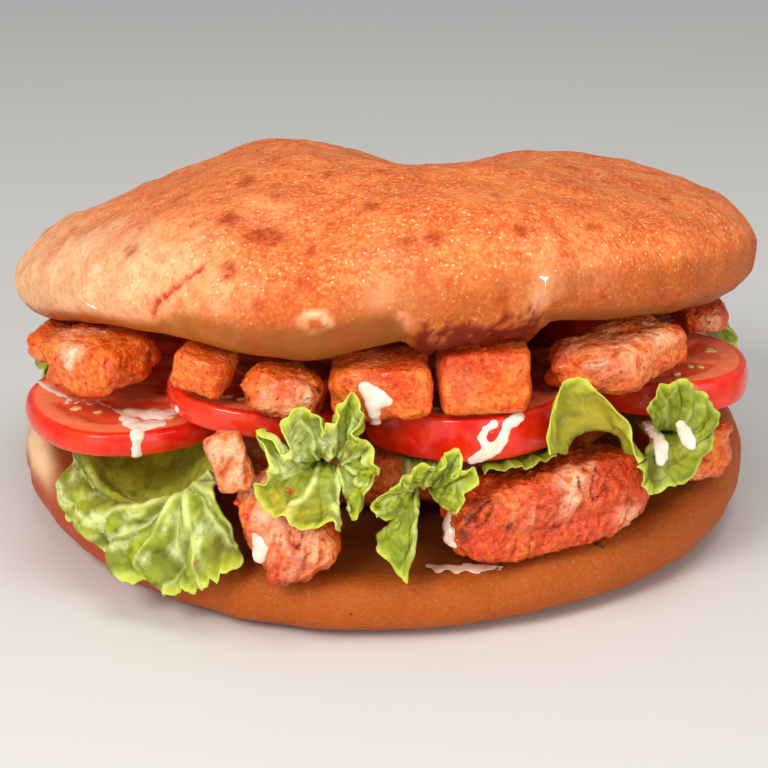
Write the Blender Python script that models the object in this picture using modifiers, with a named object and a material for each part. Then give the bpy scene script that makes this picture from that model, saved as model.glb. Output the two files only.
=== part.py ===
"""Doner kebab sandwich: a round flat loaf slit into a pocket and filled with spiced chicken, tomato and lettuce.

Design values are in millimetres and become metres through MM. +Z is up, the mouth of the pocket faces -Y,
and the origin is the centre of the loaf's flat underside. A bearing is an angle seen from above: zero at the
mouth, positive towards +X.
"""

import math

import bmesh
import bpy
from mathutils import Euler, Matrix, Vector, noise

MM = 0.001

# The loaf
LOAF_RADIUS = 96.7
DOME_HEIGHT = 33.0
UPPER_EDGE_HEIGHT = 9.0
UPPER_EDGE_REACH = 7.0
CUT_FACE_HEIGHT = 56.0
CUT_FACE_MOUTH_SLOPE = 0.17
CUT_FACE_ROLL_SLOPE = 0.04
UPPER_EDGE_LATITUDE = math.radians(41)
LEFT_TAPER = 0.27
SADDLE_DEPTH = 15.0
RIGHT_DROP = 5.0
DOME_LUMPS = 2.2
LOWER_THICKNESS = 14.5
LOWER_WIDEST_HEIGHT = 6.5
LOWER_CRUST_REACH = 17.0
LOWER_CRUST_LATITUDE = math.radians(54)
LOWER_RIM_LATITUDE = math.radians(30)
RIM_REACH = 5.0
RIM_LIFT = 8.0
BACK_LIFT = 5.0
HINGE_HALF_ANGLE = math.radians(68)
HINGE_HALF_WIDTH = 12.5
HINGE_HALF_HEIGHT = 20.0
HINGE_MIDDLE_HEIGHT = 30.5
HINGE_SQUARENESS = 0.75

# The fillings
FRONT_ROW = -60.0
FINE_PIECE_SIZE = 19.0
BED_HEIGHT = 37.6
BED_MIDDLE_HEIGHT = 26.0
HEART_MIDDLE = 18.0
HEART_HALF_WIDTH = 34.0
HEART_HALF_DEPTH = 46.0
TOMATO_RIM_BULGE = 0.5
TOMATO_SKIN_EDGE = 1.2
LEAF_THICKNESS = 0.9
THROAT_WIDTH = 0.34
THROAT_HEIGHT = 0.12
MIDDLE_SHARE = 0.5
MIDDLE_BULGE = 1.5
FAN_FRILL = 0.5
OUTWARD_SHARE = 0.8


def smooth(value, low, high):
    """0 below low, 1 above high, and an even step between."""
    share = min(1.0, max(0.0, (value - low) / (high - low)))
    return share * share * (3 - 2 * share)


def bump(value, centre, width):
    """A rounded hump, 1 at the centre."""
    return math.exp(-(((value - centre) / width) ** 2))


def material(name, colour, roughness):
    made = bpy.data.materials.new(name)
    made.use_nodes = True
    shader = made.node_tree.nodes["Principled BSDF"]
    shader.inputs["Base Color"].default_value = (*colour, 1.0)
    shader.inputs["Roughness"].default_value = roughness
    return made


def add_object(name, shape, collection, finish=None):
    """A mesh object from a bmesh in millimetres."""
    bmesh.ops.scale(shape, vec=(MM, MM, MM), verts=shape.verts)
    mesh = bpy.data.meshes.new(name)
    shape.to_mesh(mesh)
    shape.free()
    mesh.shade_smooth()
    made = bpy.data.objects.new(name, mesh)
    collection.objects.link(made)
    if finish:
        mesh.materials.append(finish)
    return made


def sphere_of(around, rings, place):
    """A unit UV sphere whose points are moved by place."""
    shape = bmesh.new()
    bmesh.ops.create_uvsphere(shape, u_segments=around, v_segments=rings, radius=1.0)
    for vert in shape.verts:
        vert.co = place(vert.co.copy())
    return shape


# The loaf is one piece: two halves that meet along the back.


def loaf_radius(bearing):
    """Plan radius of the loaf, not quite round."""
    waves = 1.0 * math.cos(3 * bearing + 0.6) + 0.7 * math.cos(5 * bearing + 2.0)
    return LOAF_RADIUS + waves + 1.5 * bump(bearing, 0.1, 0.9)


def cut_face(x, y):
    """Height of the upper half's cut face."""
    plane = CUT_FACE_HEIGHT - CUT_FACE_MOUTH_SLOPE * y + CUT_FACE_ROLL_SLOPE * x
    bearing = math.atan2(x, -y)
    share = smooth(math.hypot(x, y), 45.0, 90.0)
    droop = -4.5 * bump(bearing, -0.23, 0.13)
    lift = 3.0 * bump(bearing, -0.8, 0.3) + 2.5 * bump(bearing, 0.38, 0.3)
    closing = -9.0 * smooth(abs(bearing), 1.9, 2.9)
    return plane + share * (droop + lift + closing)


def latitude_of(unit):
    return math.asin(max(-1.0, min(1.0, unit.z)))


def upper_half_point(unit):
    """The upper half of the loaf: a dome of crust over a cut face with a rounded edge."""
    bearing = math.atan2(unit.x, -unit.y)
    latitude = latitude_of(unit)
    reach = loaf_radius(bearing)
    if latitude >= 0:
        radius = reach * math.cos(latitude) ** 0.9
    else:
        turn = min(1.0, -latitude / UPPER_EDGE_LATITUDE) * math.pi / 2
        inward = max(0.0, (-latitude - UPPER_EDGE_LATITUDE) / (math.pi / 2 - UPPER_EDGE_LATITUDE))
        radius = (reach - UPPER_EDGE_REACH * (1 - math.cos(turn))) * (1 - inward)
    x, y = radius * math.sin(bearing), -radius * math.cos(bearing)
    height = cut_face(x, y) + UPPER_EDGE_HEIGHT
    if latitude >= 0:
        left_taper = 1 - LEFT_TAPER * smooth(-x, 25.0, 85.0)
        saddle = SADDLE_DEPTH * bump(x, 12.0, 20.0) * bump(y, 15.0, 50.0)
        saddle += RIGHT_DROP * smooth(x, 20.0, 60.0)
        hump = bump(x, -22.0, 25.0) * bump(y, 0.0, 50.0)
        dome = DOME_HEIGHT * math.sin(latitude) ** 0.95
        lumps = DOME_LUMPS * noise.noise(Vector((x / 26, y / 26, 3.0)))
        height += dome * left_taper + math.sin(latitude) * (hump - saddle + lumps)
    else:
        height -= UPPER_EDGE_HEIGHT * math.sin(turn)
    return Vector((x, y, height))


def rim_lift(bearing):
    """How far the lower half's rim curls up: none at the mouth, most towards the back."""
    turned = abs(bearing)
    sides = RIM_LIFT * smooth(turned, 0.15, 1.5) + BACK_LIFT * smooth(turned, 1.9, 2.9)
    return sides + 2.0 * bump(bearing, 0.5, 0.25) + 2.0 * bump(bearing, -0.7, 0.35)


def lower_half_point(unit):
    """The lower half of the loaf: a shallow dish of crust with a flat underside."""
    bearing = math.atan2(unit.x, -unit.y)
    latitude = latitude_of(unit)
    reach = loaf_radius(bearing) - 0.5
    lift = rim_lift(bearing)
    widest = LOWER_WIDEST_HEIGHT + lift
    if latitude < 0:
        turn = min(1.0, -latitude / LOWER_CRUST_LATITUDE) * math.pi / 2
        inward = max(0.0, (-latitude - LOWER_CRUST_LATITUDE) / (math.pi / 2 - LOWER_CRUST_LATITUDE))
        radius = reach - LOWER_CRUST_REACH + LOWER_CRUST_REACH * math.cos(turn)
        radius *= 1 - inward
        height = widest * (1 - math.sin(turn))
    else:
        turn = min(1.0, latitude / LOWER_RIM_LATITUDE) * math.pi / 2
        inward = max(0.0, (latitude - LOWER_RIM_LATITUDE) / (math.pi / 2 - LOWER_RIM_LATITUDE))
        radius = (reach - RIM_REACH * (1 - math.cos(turn))) * (1 - inward)
        dish = LOWER_THICKNESS + lift * smooth(radius, 50.0, 90.0)
        height = widest + (dish - widest) * math.sin(turn)
    return Vector((radius * math.sin(bearing), -radius * math.cos(bearing), height))


def hinge_point(unit):
    """The crust that joins the halves round the back, a bent roll that tapers to both ends."""
    latitude = latitude_of(unit)
    turn = math.atan2(unit.y, unit.x)
    bearing = math.pi + latitude / (math.pi / 2) * HINGE_HALF_ANGLE
    section = max(0.0, math.cos(latitude)) ** 0.6
    across, up = (
        section * math.copysign(abs(c) ** HINGE_SQUARENESS, c) for c in (math.cos(turn), math.sin(turn))
    )
    radius = loaf_radius(bearing) - HINGE_HALF_WIDTH - 0.6 + HINGE_HALF_WIDTH * across
    height = HINGE_MIDDLE_HEIGHT + HINGE_HALF_HEIGHT * up
    return Vector((radius * math.sin(bearing), -radius * math.cos(bearing), height))


def fuse(host, other):
    """Joins a helper object to its host."""
    other.hide_render = True
    other.display_type = "WIRE"
    join = host.modifiers.new(other.name, "BOOLEAN")
    join.operation = "UNION"
    join.object = other


def build_bread(parts, helpers, crust):
    bread = add_object("bread", sphere_of(34, 13, lower_half_point), parts, crust)
    fuse(bread, add_object("upper_half", sphere_of(38, 16, upper_half_point), helpers))
    fuse(bread, add_object("hinge", sphere_of(12, 18, hinge_point), helpers))


# The chicken: pieces cut from the spit, each a rough block with a torn surface.

CHICKEN_PIECES = {
    # name: (centre, size, turn in degrees about X, Y and Z, roundness of the block, roughness, seed)
    "chicken_upper_left": ((-68.0, -63.2, 58.6), (22.0, 20.0, 12.0), (3, 0, -36), 6, 0.08, 1),
    "chicken_upper_edge": ((-82.0, -33.0, 53.4), (11.0, 19.0, 7.4), (0, 2, -14), 4, 0.09, 15),
    "chicken_upper_cube": ((-41.5, -80.0, 61.9), (12.5, 12.0, 9.6), (0, 12, -18), 9, 0.05, 2),
    "chicken_upper_small": ((-22.8, -84.2, 58.2), (18.2, 15.0, 11.3), (0, 12, -10), 4, 0.1, 3),
    "chicken_upper_middle": ((-0.6, -85.2, 60.1), (22.8, 16.6, 13.8), (3, -3, -3), 7, 0.06, 4),
    "chicken_upper_right": ((22.4, -81.6, 61.7), (20.8, 19.6, 16.0), (1, 0, 5), 9, 0.05, 5),
    "chicken_upper_far": ((55.0, -67.3, 61.0), (34.0, 18.6, 12.0), (4, -4, 40), 5, 0.09, 6),
    "chicken_upper_side": ((80.0, -20.0, 57.3), (13.0, 24.0, 7.0), (0, 0, 10), 4, 0.09, 7),
    "chicken_lower_splinter": ((-34.8, -96.6, 45.4), (8.8, 6.2, 14.4), (8, -16, 10), 6, 0.07, 8),
    "chicken_lower_middle": ((-22.3, -92.6, 28.4), (18.0, 14.8, 25.8), (-18, -27, -6), 4, 0.09, 9),
    "chicken_lower_right": ((38.0, -79.5, 28.0), (49.0, 18.0, 19.5), (0, -4, 24), 5, 0.09, 10),
    "chicken_lower_far": ((75.0, -42.0, 30.0), (17.0, 25.0, 14.0), (0, 0, 24), 5, 0.09, 11),
    "chicken_lower_left": ((-76.0, -12.0, 30.0), (17.0, 28.0, 14.0), (0, 0, -10), 5, 0.09, 12),
    "chicken_right_side": ((76.0, 16.0, 32.0), (18.0, 30.0, 15.0), (0, 0, -12), 5, 0.09, 13),
    "chicken_left_back": ((-73.0, 16.5, 31.5), (15.0, 21.0, 11.5), (0, 0, 10), 4, 0.09, 14),
}


def chunk_shape(centre, size, turn, roundness, rough, seed, cuts):
    """A block with rounded corners, squarer as roundness rises, and an uneven, torn surface."""
    shape = bmesh.new()
    bmesh.ops.create_cube(shape, size=2.0)
    bmesh.ops.subdivide_edges(shape, edges=shape.edges, cuts=cuts, use_grid_fill=True)
    half = Vector(size) / 2
    turned = Euler([math.radians(a) for a in turn]).to_matrix()
    offset = Vector((seed * 7.3, seed * 3.1, seed * 1.7))
    for vert in shape.verts:
        across = sum(abs(c) ** roundness for c in vert.co) ** (1 / roundness)
        unit = vert.co / across
        swell = 1 + rough * 2 * noise.noise(unit * 1.6 + offset)
        tear = rough * noise.noise(unit * 4.5 + offset * 2)
        point = Vector(h * c for h, c in zip(half, unit * (swell + tear)))
        vert.co = turned @ point + Vector(centre)
    bmesh.ops.triangulate(shape, faces=shape.faces)
    return shape


def build_chicken(parts, finish):
    for name, (centre, size, *form) in CHICKEN_PIECES.items():
        cuts = 4 if centre[1] < FRONT_ROW and max(size) > FINE_PIECE_SIZE else 3
        add_object(name, chunk_shape(centre, size, *form, cuts), parts, finish)


# The heaps of chicken that run through the pocket behind the pieces that show.


def bed_top(x, y):
    """Height of the lower heap: level under the tomatoes, with a ramp to the right."""
    return BED_HEIGHT + 2.6 * smooth(x, -8.0, 8.0)


def bed_point(unit):
    """The lower heap, from behind the front pieces to the back of the pocket."""
    bearing = math.atan2(unit.x, -unit.y)
    outline = 68.0 - 8.0 * smooth(abs(bearing), 0.15, 0.6) + 4.0 * smooth(abs(bearing), 0.8, 1.6)
    outline += 1.5 * math.sin(5 * bearing) - 3.0 * smooth(abs(bearing), 2.2, 3.1)
    radius = outline * math.hypot(unit.x, unit.y) ** 0.45
    x, y = radius * math.sin(bearing), -radius * math.cos(bearing) + 4.0
    lumps = 1.6 * noise.noise(Vector((x / 9, y / 9, 5.0)))
    if unit.z >= 0:
        height = BED_MIDDLE_HEIGHT + (bed_top(x, y) - 1.2 - BED_MIDDLE_HEIGHT + lumps) * unit.z**0.5
    else:
        height = BED_MIDDLE_HEIGHT - (BED_MIDDLE_HEIGHT - LOWER_THICKNESS - 0.8) * (-unit.z) ** 0.5
    return Vector((x, y, height))


def wedge_point(unit):
    """The upper heap, which fills the narrowing pocket behind the tomatoes."""
    share = max(abs(unit.x), abs(unit.y), 1e-6) / max(math.hypot(unit.x, unit.y), 1e-6)
    squared = 1 / max(share, 0.8)
    x = HEART_HALF_WIDTH * unit.x * squared
    y = HEART_MIDDLE + HEART_HALF_DEPTH * unit.y * squared
    low, high = bed_top(x, y) + 1.2, cut_face(x, y) - 0.8
    lumps = 1.4 * noise.noise(Vector((x / 9, y / 9, 9.0)))
    middle = (low + high) / 2
    if unit.z >= 0:
        height = middle + (high - middle) * unit.z**0.5 - abs(lumps) * unit.z
    else:
        height = middle - (middle - low) * (-unit.z) ** 0.5
    return Vector((x, y, height))


def build_heaps(parts, finish):
    add_object("chicken_bed", sphere_of(22, 10, bed_point), parts, finish)
    add_object("chicken_heart", sphere_of(18, 8, wedge_point), parts, finish)


# The tomato: round slices with a bulging skin.

TOMATO_SLICES = {
    # name: (centre, radius, thickness, turn in degrees about X and Y, seed)
    "tomato_left": ((-61.2, -53.5, 44.1), 25.5, 5.8, (4.0, 0.0), 1),
    "tomato_middle_left": ((-28.5, -63.0, 49.6), 23.0, 6.2, (0.0, 6.5), 2),
    "tomato_middle_right": ((19.8, -66.5, 47.8), 24.0, 10.6, (0.0, -1.5), 3),
    "tomato_right": ((66.0, -43.5, 49.0), 23.0, 8.0, (0.0, 0.0), 4),
    "tomato_right_side": ((64.0, 6.0, 47.4), 23.0, 7.6, (-2.0, 0.0), 5),
    "tomato_left_side": ((-60.5, 2.5, 44.6), 22.5, 7.0, (-2.0, 0.0), 6),
}


def slice_shape(centre, radius, thickness, turn, seed):
    """A disc with a bulging rim and soft corners, not quite round."""
    half = thickness / 2
    profile = (
        (22.5, radius + TOMATO_RIM_BULGE * 0.6, half * 0.62),
        (45.0, radius - TOMATO_SKIN_EDGE, half),
        (67.5, radius * 0.55, half * 0.94),
        (90.0, 0.0, half),
    )

    def place(unit):
        bearing = math.atan2(unit.x, -unit.y)
        latitude = math.degrees(latitude_of(unit))
        reach, height = radius + TOMATO_RIM_BULGE, 0.0
        for at, ring_reach, ring_height in profile:
            if abs(latitude) > at - 1.0:
                reach, height = ring_reach, math.copysign(ring_height, latitude)
        uneven = 1 + 0.02 * math.cos(2 * bearing + seed) + 0.012 * math.cos(5 * bearing + 2 * seed)
        point = Vector((math.sin(bearing), -math.cos(bearing), 0)) * reach * uneven
        return Vector((point.x, point.y, height))

    shape = sphere_of(22, 8, place)
    turned = Euler((math.radians(turn[0]), math.radians(turn[1]), 0)).to_matrix().to_4x4()
    bmesh.ops.transform(shape, matrix=Matrix.Translation(centre) @ turned, verts=shape.verts)
    return shape


# Thick white sauce that has run over the slices, each run one rounded blob fused to its slice.

SAUCE_RUNS = {
    # name: (slice, centre, size)
    "sauce_pool_left": ("tomato_left", (-56.0, -73.5, 46.0), (15.0, 9.0, 4.4)),
    "sauce_drip_left": ("tomato_left", (-58.5, -78.6, 42.4), (4.6, 3.8, 7.6)),
    "sauce_drip_middle": ("tomato_middle_right", (-2.6, -76.8, 47.6), (4.8, 4.4, 9.6)),
    "sauce_pool_right": ("tomato_middle_right", (29.5, -88.2, 50.4), (11.0, 4.6, 4.6)),
    "sauce_drip_right": ("tomato_middle_right", (25.0, -90.0, 46.2), (5.0, 4.0, 8.8)),
}


def blob_shape(centre, size):
    half = Vector(size) / 2
    return sphere_of(10, 6, lambda unit: Vector(h * c for h, c in zip(half, unit)) + Vector(centre))


def build_tomato(parts, helpers, finish):
    slices = {}
    for name, (centre, radius, thickness, turn, seed) in TOMATO_SLICES.items():
        shape = slice_shape(centre, radius, thickness, turn, seed)
        slices[name] = add_object(name, shape, parts, finish)
    for name, (host, centre, size) in SAUCE_RUNS.items():
        fuse(slices[host], add_object(name, blob_shape(centre, size), helpers))


# The lettuce: each leaf is a thin sheet through rows of points, from the tucked-in root to the ruffled margin.

DRAPED_LEAVES = {
    # name: (rows of points from the root to the margin, ruffle height, waves, cells along and across)
    "lettuce_left": (
        (
            ((-68, -40, 39.0), (-62, -42, 39.0), (-56, -44, 39.0), (-50, -46, 39.0), (-44, -48, 39.0)),
            ((-72, -51, 37.5), (-66, -58, 27.0), (-59, -64, 24.0), (-50, -71, 26.5), (-40, -77, 36.0)),
            ((-75, -60, 37.0), (-69, -67, 28.0), (-60, -76, 27.0), (-51, -83, 30.0), (-39.5, -88, 38.5)),
            ((-77, -63, 27.0), (-70, -72, 20.5), (-61, -80, 20.0), (-49, -88, 20.0), (-36, -93.5, 29.0)),
            ((-73, -68, 19.0), (-66, -76, 14.5), (-57, -84, 10.5), (-46, -91, 9.5), (-33, -96, 19.0)),
        ),
        1.9,
        4.5,
        (11, 18),
    ),
    "lettuce_arch": (
        (
            ((45, -46, 41.4), (47, -46, 41.4), (50, -46, 41.4), (53, -46, 41.4), (56, -46, 41.4)),
            ((43, -70, 42.0), (45, -70, 44.2), (49, -70, 45.8), (54, -70, 44.8), (58, -69, 42.2)),
            ((42, -84, 42.6), (44, -84, 47.0), (49, -84, 48.6), (54, -83, 46.8), (56, -82, 42.4)),
            ((40, -89, 44.6), (40, -88, 53.0), (47, -87, 55.5), (54, -86, 49.0), (58, -86, 42.6)),
            ((38, -93, 45.5), (39, -91, 60.0), (46, -90, 62.5), (55, -89, 51.0), (58, -90, 42.0)),
        ),
        0.6,
        3.0,
        (8, 16),
    ),
    "lettuce_under_tomato": (
        (
            ((21, -42, 41.2), (27, -42, 41.2), (33, -42, 41.2), (39, -43, 41.2)),
            ((21, -70, 41.3), (28, -70, 41.3), (34, -70, 41.3), (40, -68, 41.3)),
            ((23, -94, 40.8), (29, -92, 41.4), (34, -90, 40.9), (40, -84, 41.8)),
        ),
        0.5,
        3.0,
        (6, 7),
    ),
    "lettuce_right_side": (
        (
            ((52, -12, 41.4), (54, -2, 41.4), (55, 8, 41.4), (54, 18, 41.4), (50, 28, 41.4)),
            ((80, -18, 42.2), (84, -6, 41.8), (85, 6, 41.8), (84, 20, 42.0), (78, 34, 42.4)),
            ((87, -20, 38.0), (91, -8, 42.0), (92, 6, 38.0), (91, 22, 43.0), (85, 36, 39.0)),
            ((88, -20, 32.0), (92, -8, 44.0), (93, 5, 31.0), (92, 23, 45.0), (86, 38, 33.0)),
        ),
        1.4,
        5.0,
        (7, 15),
    ),
    "lettuce_left_side": (
        (
            ((-50, 30, 39.0), (-52, 22, 39.0), (-53, 12, 39.0), (-52, 2, 39.0), (-50, -6, 39.0)),
            ((-76, 31, 39.4), (-82, 23, 39.6), (-84, 11, 39.6), (-83, 0, 39.6), (-80, -12, 39.6)),
            ((-83, 34, 37.0), (-88, 25, 40.0), (-90, 12, 35.0), (-90, 0, 40.0), (-86, -13, 36.0)),
            ((-85, 35, 33.0), (-89, 26, 42.0), (-92, 13, 29.0), (-91, 0, 42.0), (-87, -15, 32.0)),
        ),
        1.4,
        5.0,
        (7, 15),
    ),
}

FANNED_LEAVES = {
    # name: (the two ends of the root, the throat, points round the margin, cells along and across)
    "lettuce_middle": (
        ((-21, -52, 39.2), (-9, -52, 39.2)),
        (-12.0, -93.0, 43.5),
        (
            (-9, -101, 29.5),
            (-14, -104, 32.5),
            (-21, -105, 33.0),
            (-26, -103, 35.0),
            (-29, -101, 40.5),
            (-26, -104, 46.0),
            (-29, -99, 54.5),
            (-23, -104, 50.0),
            (-22, -99, 57.5),
            (-17, -99, 59.5),
            (-14, -103, 55.0),
            (-11, -101, 57.0),
            (-8, -98, 62.5),
            (-5, -98, 59.0),
            (-6, -103, 53.0),
            (-3, -99, 50.5),
            (-1, -102, 46.0),
            (-2, -98, 41.5),
            (-4, -98, 36.5),
            (-7, -100, 31.5),
        ),
        (6, 34),
    ),
    "lettuce_low": (
        ((2, -52, 41.2), (14, -52, 41.2)),
        (8.0, -95.0, 38.5),
        (
            (7, -99, 23.0),
            (4, -102, 17.5),
            (-2, -101, 25.0),
            (2, -98, 30.5),
            (-1, -103, 34.0),
            (-3, -101, 37.0),
            (2, -99, 40.0),
            (5, -101, 43.0),
            (10, -100, 45.5),
            (13, -103, 46.5),
            (17, -99, 49.5),
            (16, -102, 44.0),
            (20, -100, 44.5),
            (18, -103, 39.5),
            (16, -101, 32.5),
        ),
        (5, 26),
    ),
    "lettuce_right": (
        ((58, -48, 41.4), (70, -48, 41.4)),
        (66.0, -73.0, 43.0),
        (
            (58, -87, 40.0),
            (60, -86, 33.5),
            (66, -82, 32.0),
            (73, -76, 34.5),
            (78, -71, 41.0),
            (79, -68, 48.0),
            (74, -70, 54.0),
            (69, -73, 57.5),
            (64, -75, 56.0),
            (61, -77, 51.0),
        ),
        (6, 24),
    ),
}


def through(points, share):
    """A point on the smooth curve (Catmull-Rom) through a list of points, share from 0 to 1."""
    at = min(share, 0.999999) * (len(points) - 1)
    i = int(at)
    t = at - i
    before = points[i - 1] if i else points[0] * 2 - points[1]
    after = points[i + 2] if i + 2 < len(points) else points[-1] * 2 - points[-2]
    here, there = points[i], points[i + 1]
    return 0.5 * (
        2 * here
        + (there - before) * t
        + (2 * before - 5 * here + 4 * there - after) * t**2
        + (3 * here - before - 3 * there + after) * t**3
    )


def draped(rows):
    """The surface through the rows of a draped leaf."""
    lines = [[Vector(point) for point in row] for row in rows]
    return lambda along, across: through([through(line, across) for line in lines], along)


def fanned(root, throat, margin):
    """The surface of a leaf that passes a narrow throat and opens into a fan."""
    start, stop = (Vector(end) for end in root)
    middle = Vector(throat)
    edge = [Vector(point) for point in margin]

    def surface(along, across):
        tip = through(edge, across)
        reach = tip - middle
        neck = middle + Vector((reach.x * THROAT_WIDTH, 0, reach.z * THROAT_HEIGHT))
        open_part = neck + (tip - neck) * MIDDLE_SHARE
        open_part.y -= MIDDLE_BULGE
        base = start.lerp(stop, across)
        before_neck = base.lerp(neck, 0.6)
        before_neck.z = base.z + 0.25 * (neck.z - base.z)
        return through([base, before_neck, neck, open_part, tip], along)

    return surface


def leaf_shape(surface, ruffle, waves, cells, seed):
    """A ruffled sheet, open, in millimetres."""
    count_along, count_across = cells
    shape = bmesh.new()
    bmesh.ops.create_grid(shape, x_segments=count_along, y_segments=count_across, size=1.0)
    step = 0.01
    for vert in shape.verts:
        along, across = (vert.co.x + 1) / 2, (vert.co.y + 1) / 2
        point = surface(along, across)
        forward = surface(min(1, along + step), across) - surface(max(0, along - step), across)
        sideways = surface(along, min(1, across + step)) - surface(along, max(0, across - step))
        normal = forward.cross(sideways).normalized()
        margin = smooth(along, 0.45, 1.0)
        phase = 2 * math.pi * (waves * across + 0.35 * math.sin(9 * along + seed))
        frill = OUTWARD_SHARE + math.sin(phase + seed) + 0.4 * math.sin(2.3 * phase + 2 * seed)
        vert.co = point + normal * ruffle * margin * frill
    bmesh.ops.triangulate(shape, faces=shape.faces)
    return shape


def add_leaf(name, shape, parts, finish):
    leaf = add_object(name, shape, parts, finish)
    thicken = leaf.modifiers.new("thickness", "SOLIDIFY")
    thicken.thickness = LEAF_THICKNESS * MM
    thicken.offset = 0.0


def build_lettuce(parts, finish):
    for seed, (name, (rows, ruffle, waves, cells)) in enumerate(DRAPED_LEAVES.items()):
        add_leaf(name, leaf_shape(draped(rows), ruffle, waves, cells, seed), parts, finish)
    for seed, (name, (root, throat, margin, cells)) in enumerate(FANNED_LEAVES.items()):
        surface = fanned(root, throat, margin)
        add_leaf(name, leaf_shape(surface, FAN_FRILL, len(margin), cells, seed), parts, finish)


def clear_scene():
    for old in list(bpy.data.objects):
        bpy.data.objects.remove(old, do_unlink=True)


def main():
    clear_scene()
    scene = bpy.context.scene
    parts = bpy.data.collections.new("doner_kebab_sandwich")
    helpers = bpy.data.collections.new("helpers")
    for collection in (parts, helpers):
        scene.collection.children.link(collection)
    crust = material("bread_crust", (0.62, 0.27, 0.09), 0.75)
    chicken = material("spiced_chicken", (0.55, 0.14, 0.04), 0.6)
    tomato = material("tomato_flesh", (0.6, 0.03, 0.01), 0.25)
    lettuce = material("lettuce_leaf", (0.3, 0.42, 0.06), 0.4)
    build_bread(parts, helpers, crust)
    build_heaps(parts, chicken)
    build_chicken(parts, chicken)
    build_tomato(parts, helpers, tomato)
    build_lettuce(parts, lettuce)


main()
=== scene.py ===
"""Looks of the doner kebab sandwich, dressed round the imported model.

Places and sizes are in millimetres and become metres through MM. +Z is up and the mouth of the pocket
faces -Y. The tomato slices and the rows of leaf points repeat part.py, so that a piece stays on the node it
stands for. Spots, sauce and bits are placed by pixels of the photograph and cast onto what those show.
"""

import math

import bmesh
import bpy
import numpy as np
from mathutils import Euler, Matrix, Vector
from mathutils.bvhtree import BVHTree


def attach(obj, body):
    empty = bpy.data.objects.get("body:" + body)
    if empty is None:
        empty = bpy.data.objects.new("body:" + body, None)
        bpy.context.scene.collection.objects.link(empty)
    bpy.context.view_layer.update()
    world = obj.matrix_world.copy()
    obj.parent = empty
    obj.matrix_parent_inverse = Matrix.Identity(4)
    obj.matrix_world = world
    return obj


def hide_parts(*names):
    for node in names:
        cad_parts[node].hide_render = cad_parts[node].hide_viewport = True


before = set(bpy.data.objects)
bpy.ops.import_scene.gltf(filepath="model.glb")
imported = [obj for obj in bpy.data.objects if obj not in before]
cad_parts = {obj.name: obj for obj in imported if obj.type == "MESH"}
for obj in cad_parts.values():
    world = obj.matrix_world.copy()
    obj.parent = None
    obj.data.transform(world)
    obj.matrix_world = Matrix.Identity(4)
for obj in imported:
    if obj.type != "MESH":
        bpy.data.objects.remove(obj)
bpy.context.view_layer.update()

MM = 0.001

# The photograph's view: where its camera stands, and where its picture puts the loaf's origin.
VIEW_PLACE = (0.0, -574.9, 232.3)
VIEW_TILT = math.radians(22)
VIEW_FOCUS = 2368.0
VIEW_ORIGIN = (418.0, 490.0)
CAMERA_TARGET = (0.0, 0.0, 30.0)
CAMERA_LENS = 106.6

# How fine each kind of mesh is, and how often it is smoothed
BREAD_VOXEL = 1.38
BREAD_SMOOTHING = 22
CHICKEN_VOXEL = 0.7
CHICKEN_SMOOTHING = 2
HEAP_VOXEL = 1.2
HEAP_SMOOTHING = 4
SAUCE_VOXEL = 0.4
SAUCE_SMOOTHING = 5
LEAF_ROWS = 74
DRAPED_COLUMNS = 136
FANNED_COLUMNS = 226

# Colours as a screen shows them
CRUST_DEEP = (220, 88, 30)
CRUST = (242, 122, 52)
# Pale crust; also used as painted light on the lit left end
CRUST_PALE_AND_LIT = (254, 208, 160)
CRUST_GRAIN = (250, 174, 100)
CRUST_GLINT = (255, 226, 178)
CRUST_DOT = (204, 72, 26)
SCORCH = (168, 52, 12)
BASE_CRUST = (160, 76, 14)
CRUMB = (172, 92, 28)
CRUMB_PALE = (194, 114, 44)
CRUMB_PORE = (150, 70, 22)
CRUMB_LOWER = (124, 62, 22)
CHICKEN_SPICE = (234, 86, 16)
CHICKEN_LIGHT = (250, 134, 46)
CHICKEN_RED = (206, 46, 10)
CHICKEN_CHAR_AND_SHADE = (104, 24, 6)
CHICKEN_PALE = (252, 196, 148)
CHICKEN_SPECK = (170, 40, 12)
CHICKEN_FLECK = (255, 170, 94)
STRAND_DEEP = (236, 112, 50)
STRAND_LIGHT = (254, 220, 188)
TOMATO_SKIN = (216, 24, 8)
TOMATO_SKIN_LIGHT = (240, 58, 24)
TOMATO_FLESH = (252, 112, 70)
TOMATO_WALL = (252, 140, 98)
TOMATO_STREAK = (252, 92, 54)
TOMATO_GEL = (250, 84, 46)
SEED_COLOURS = ((236, 190, 120), (246, 214, 150))
LEAF_DARK = (106, 106, 18)
LEAF = (134, 148, 28)
LEAF_LIGHT = (178, 188, 50)
LEAF_BRIGHT = (208, 220, 84)
LEAF_GOLD = (196, 166, 40)
LEAF_SPECK = (132, 136, 34)
LEAF_PALE = (226, 232, 172)
LEAF_RIB = (222, 230, 142)
SAUCE = (252, 232, 214)
SAUCE_WARM = (248, 208, 180)
SAUCE_STAIN = (246, 184, 156)
OIL = (192, 34, 10)
OIL_DARK_AND_SHADE = (112, 24, 4)
RED_BIT_COLOURS = ((226, 44, 16), (240, 84, 30))
PEPPER_COLOURS = ((44, 26, 14), (92, 44, 20))
SPICE_COLOURS = {
    "spice_dark": ((140, 36, 10), (176, 52, 16)),
    "spice_orange": ((238, 88, 22), (250, 130, 40)),
}
FLOOR_COLOUR = (226, 224, 220)


# Numbers spread over points


def smooth(value, low, high):
    """0 below low, 1 above high, and an even step between."""
    share = np.clip((value - low) / (high - low), 0.0, 1.0)
    return share * share * (3 - 2 * share)


def falls(value, low, high):
    """1 below low, 0 above high, and an even step between."""
    return smooth(-value, -high, -low)


def beside_whole(value):
    """0 at whole numbers and 1 halfway between them."""
    return 1 - np.abs(np.mod(value, 1.0) - 0.5) * 2


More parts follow.
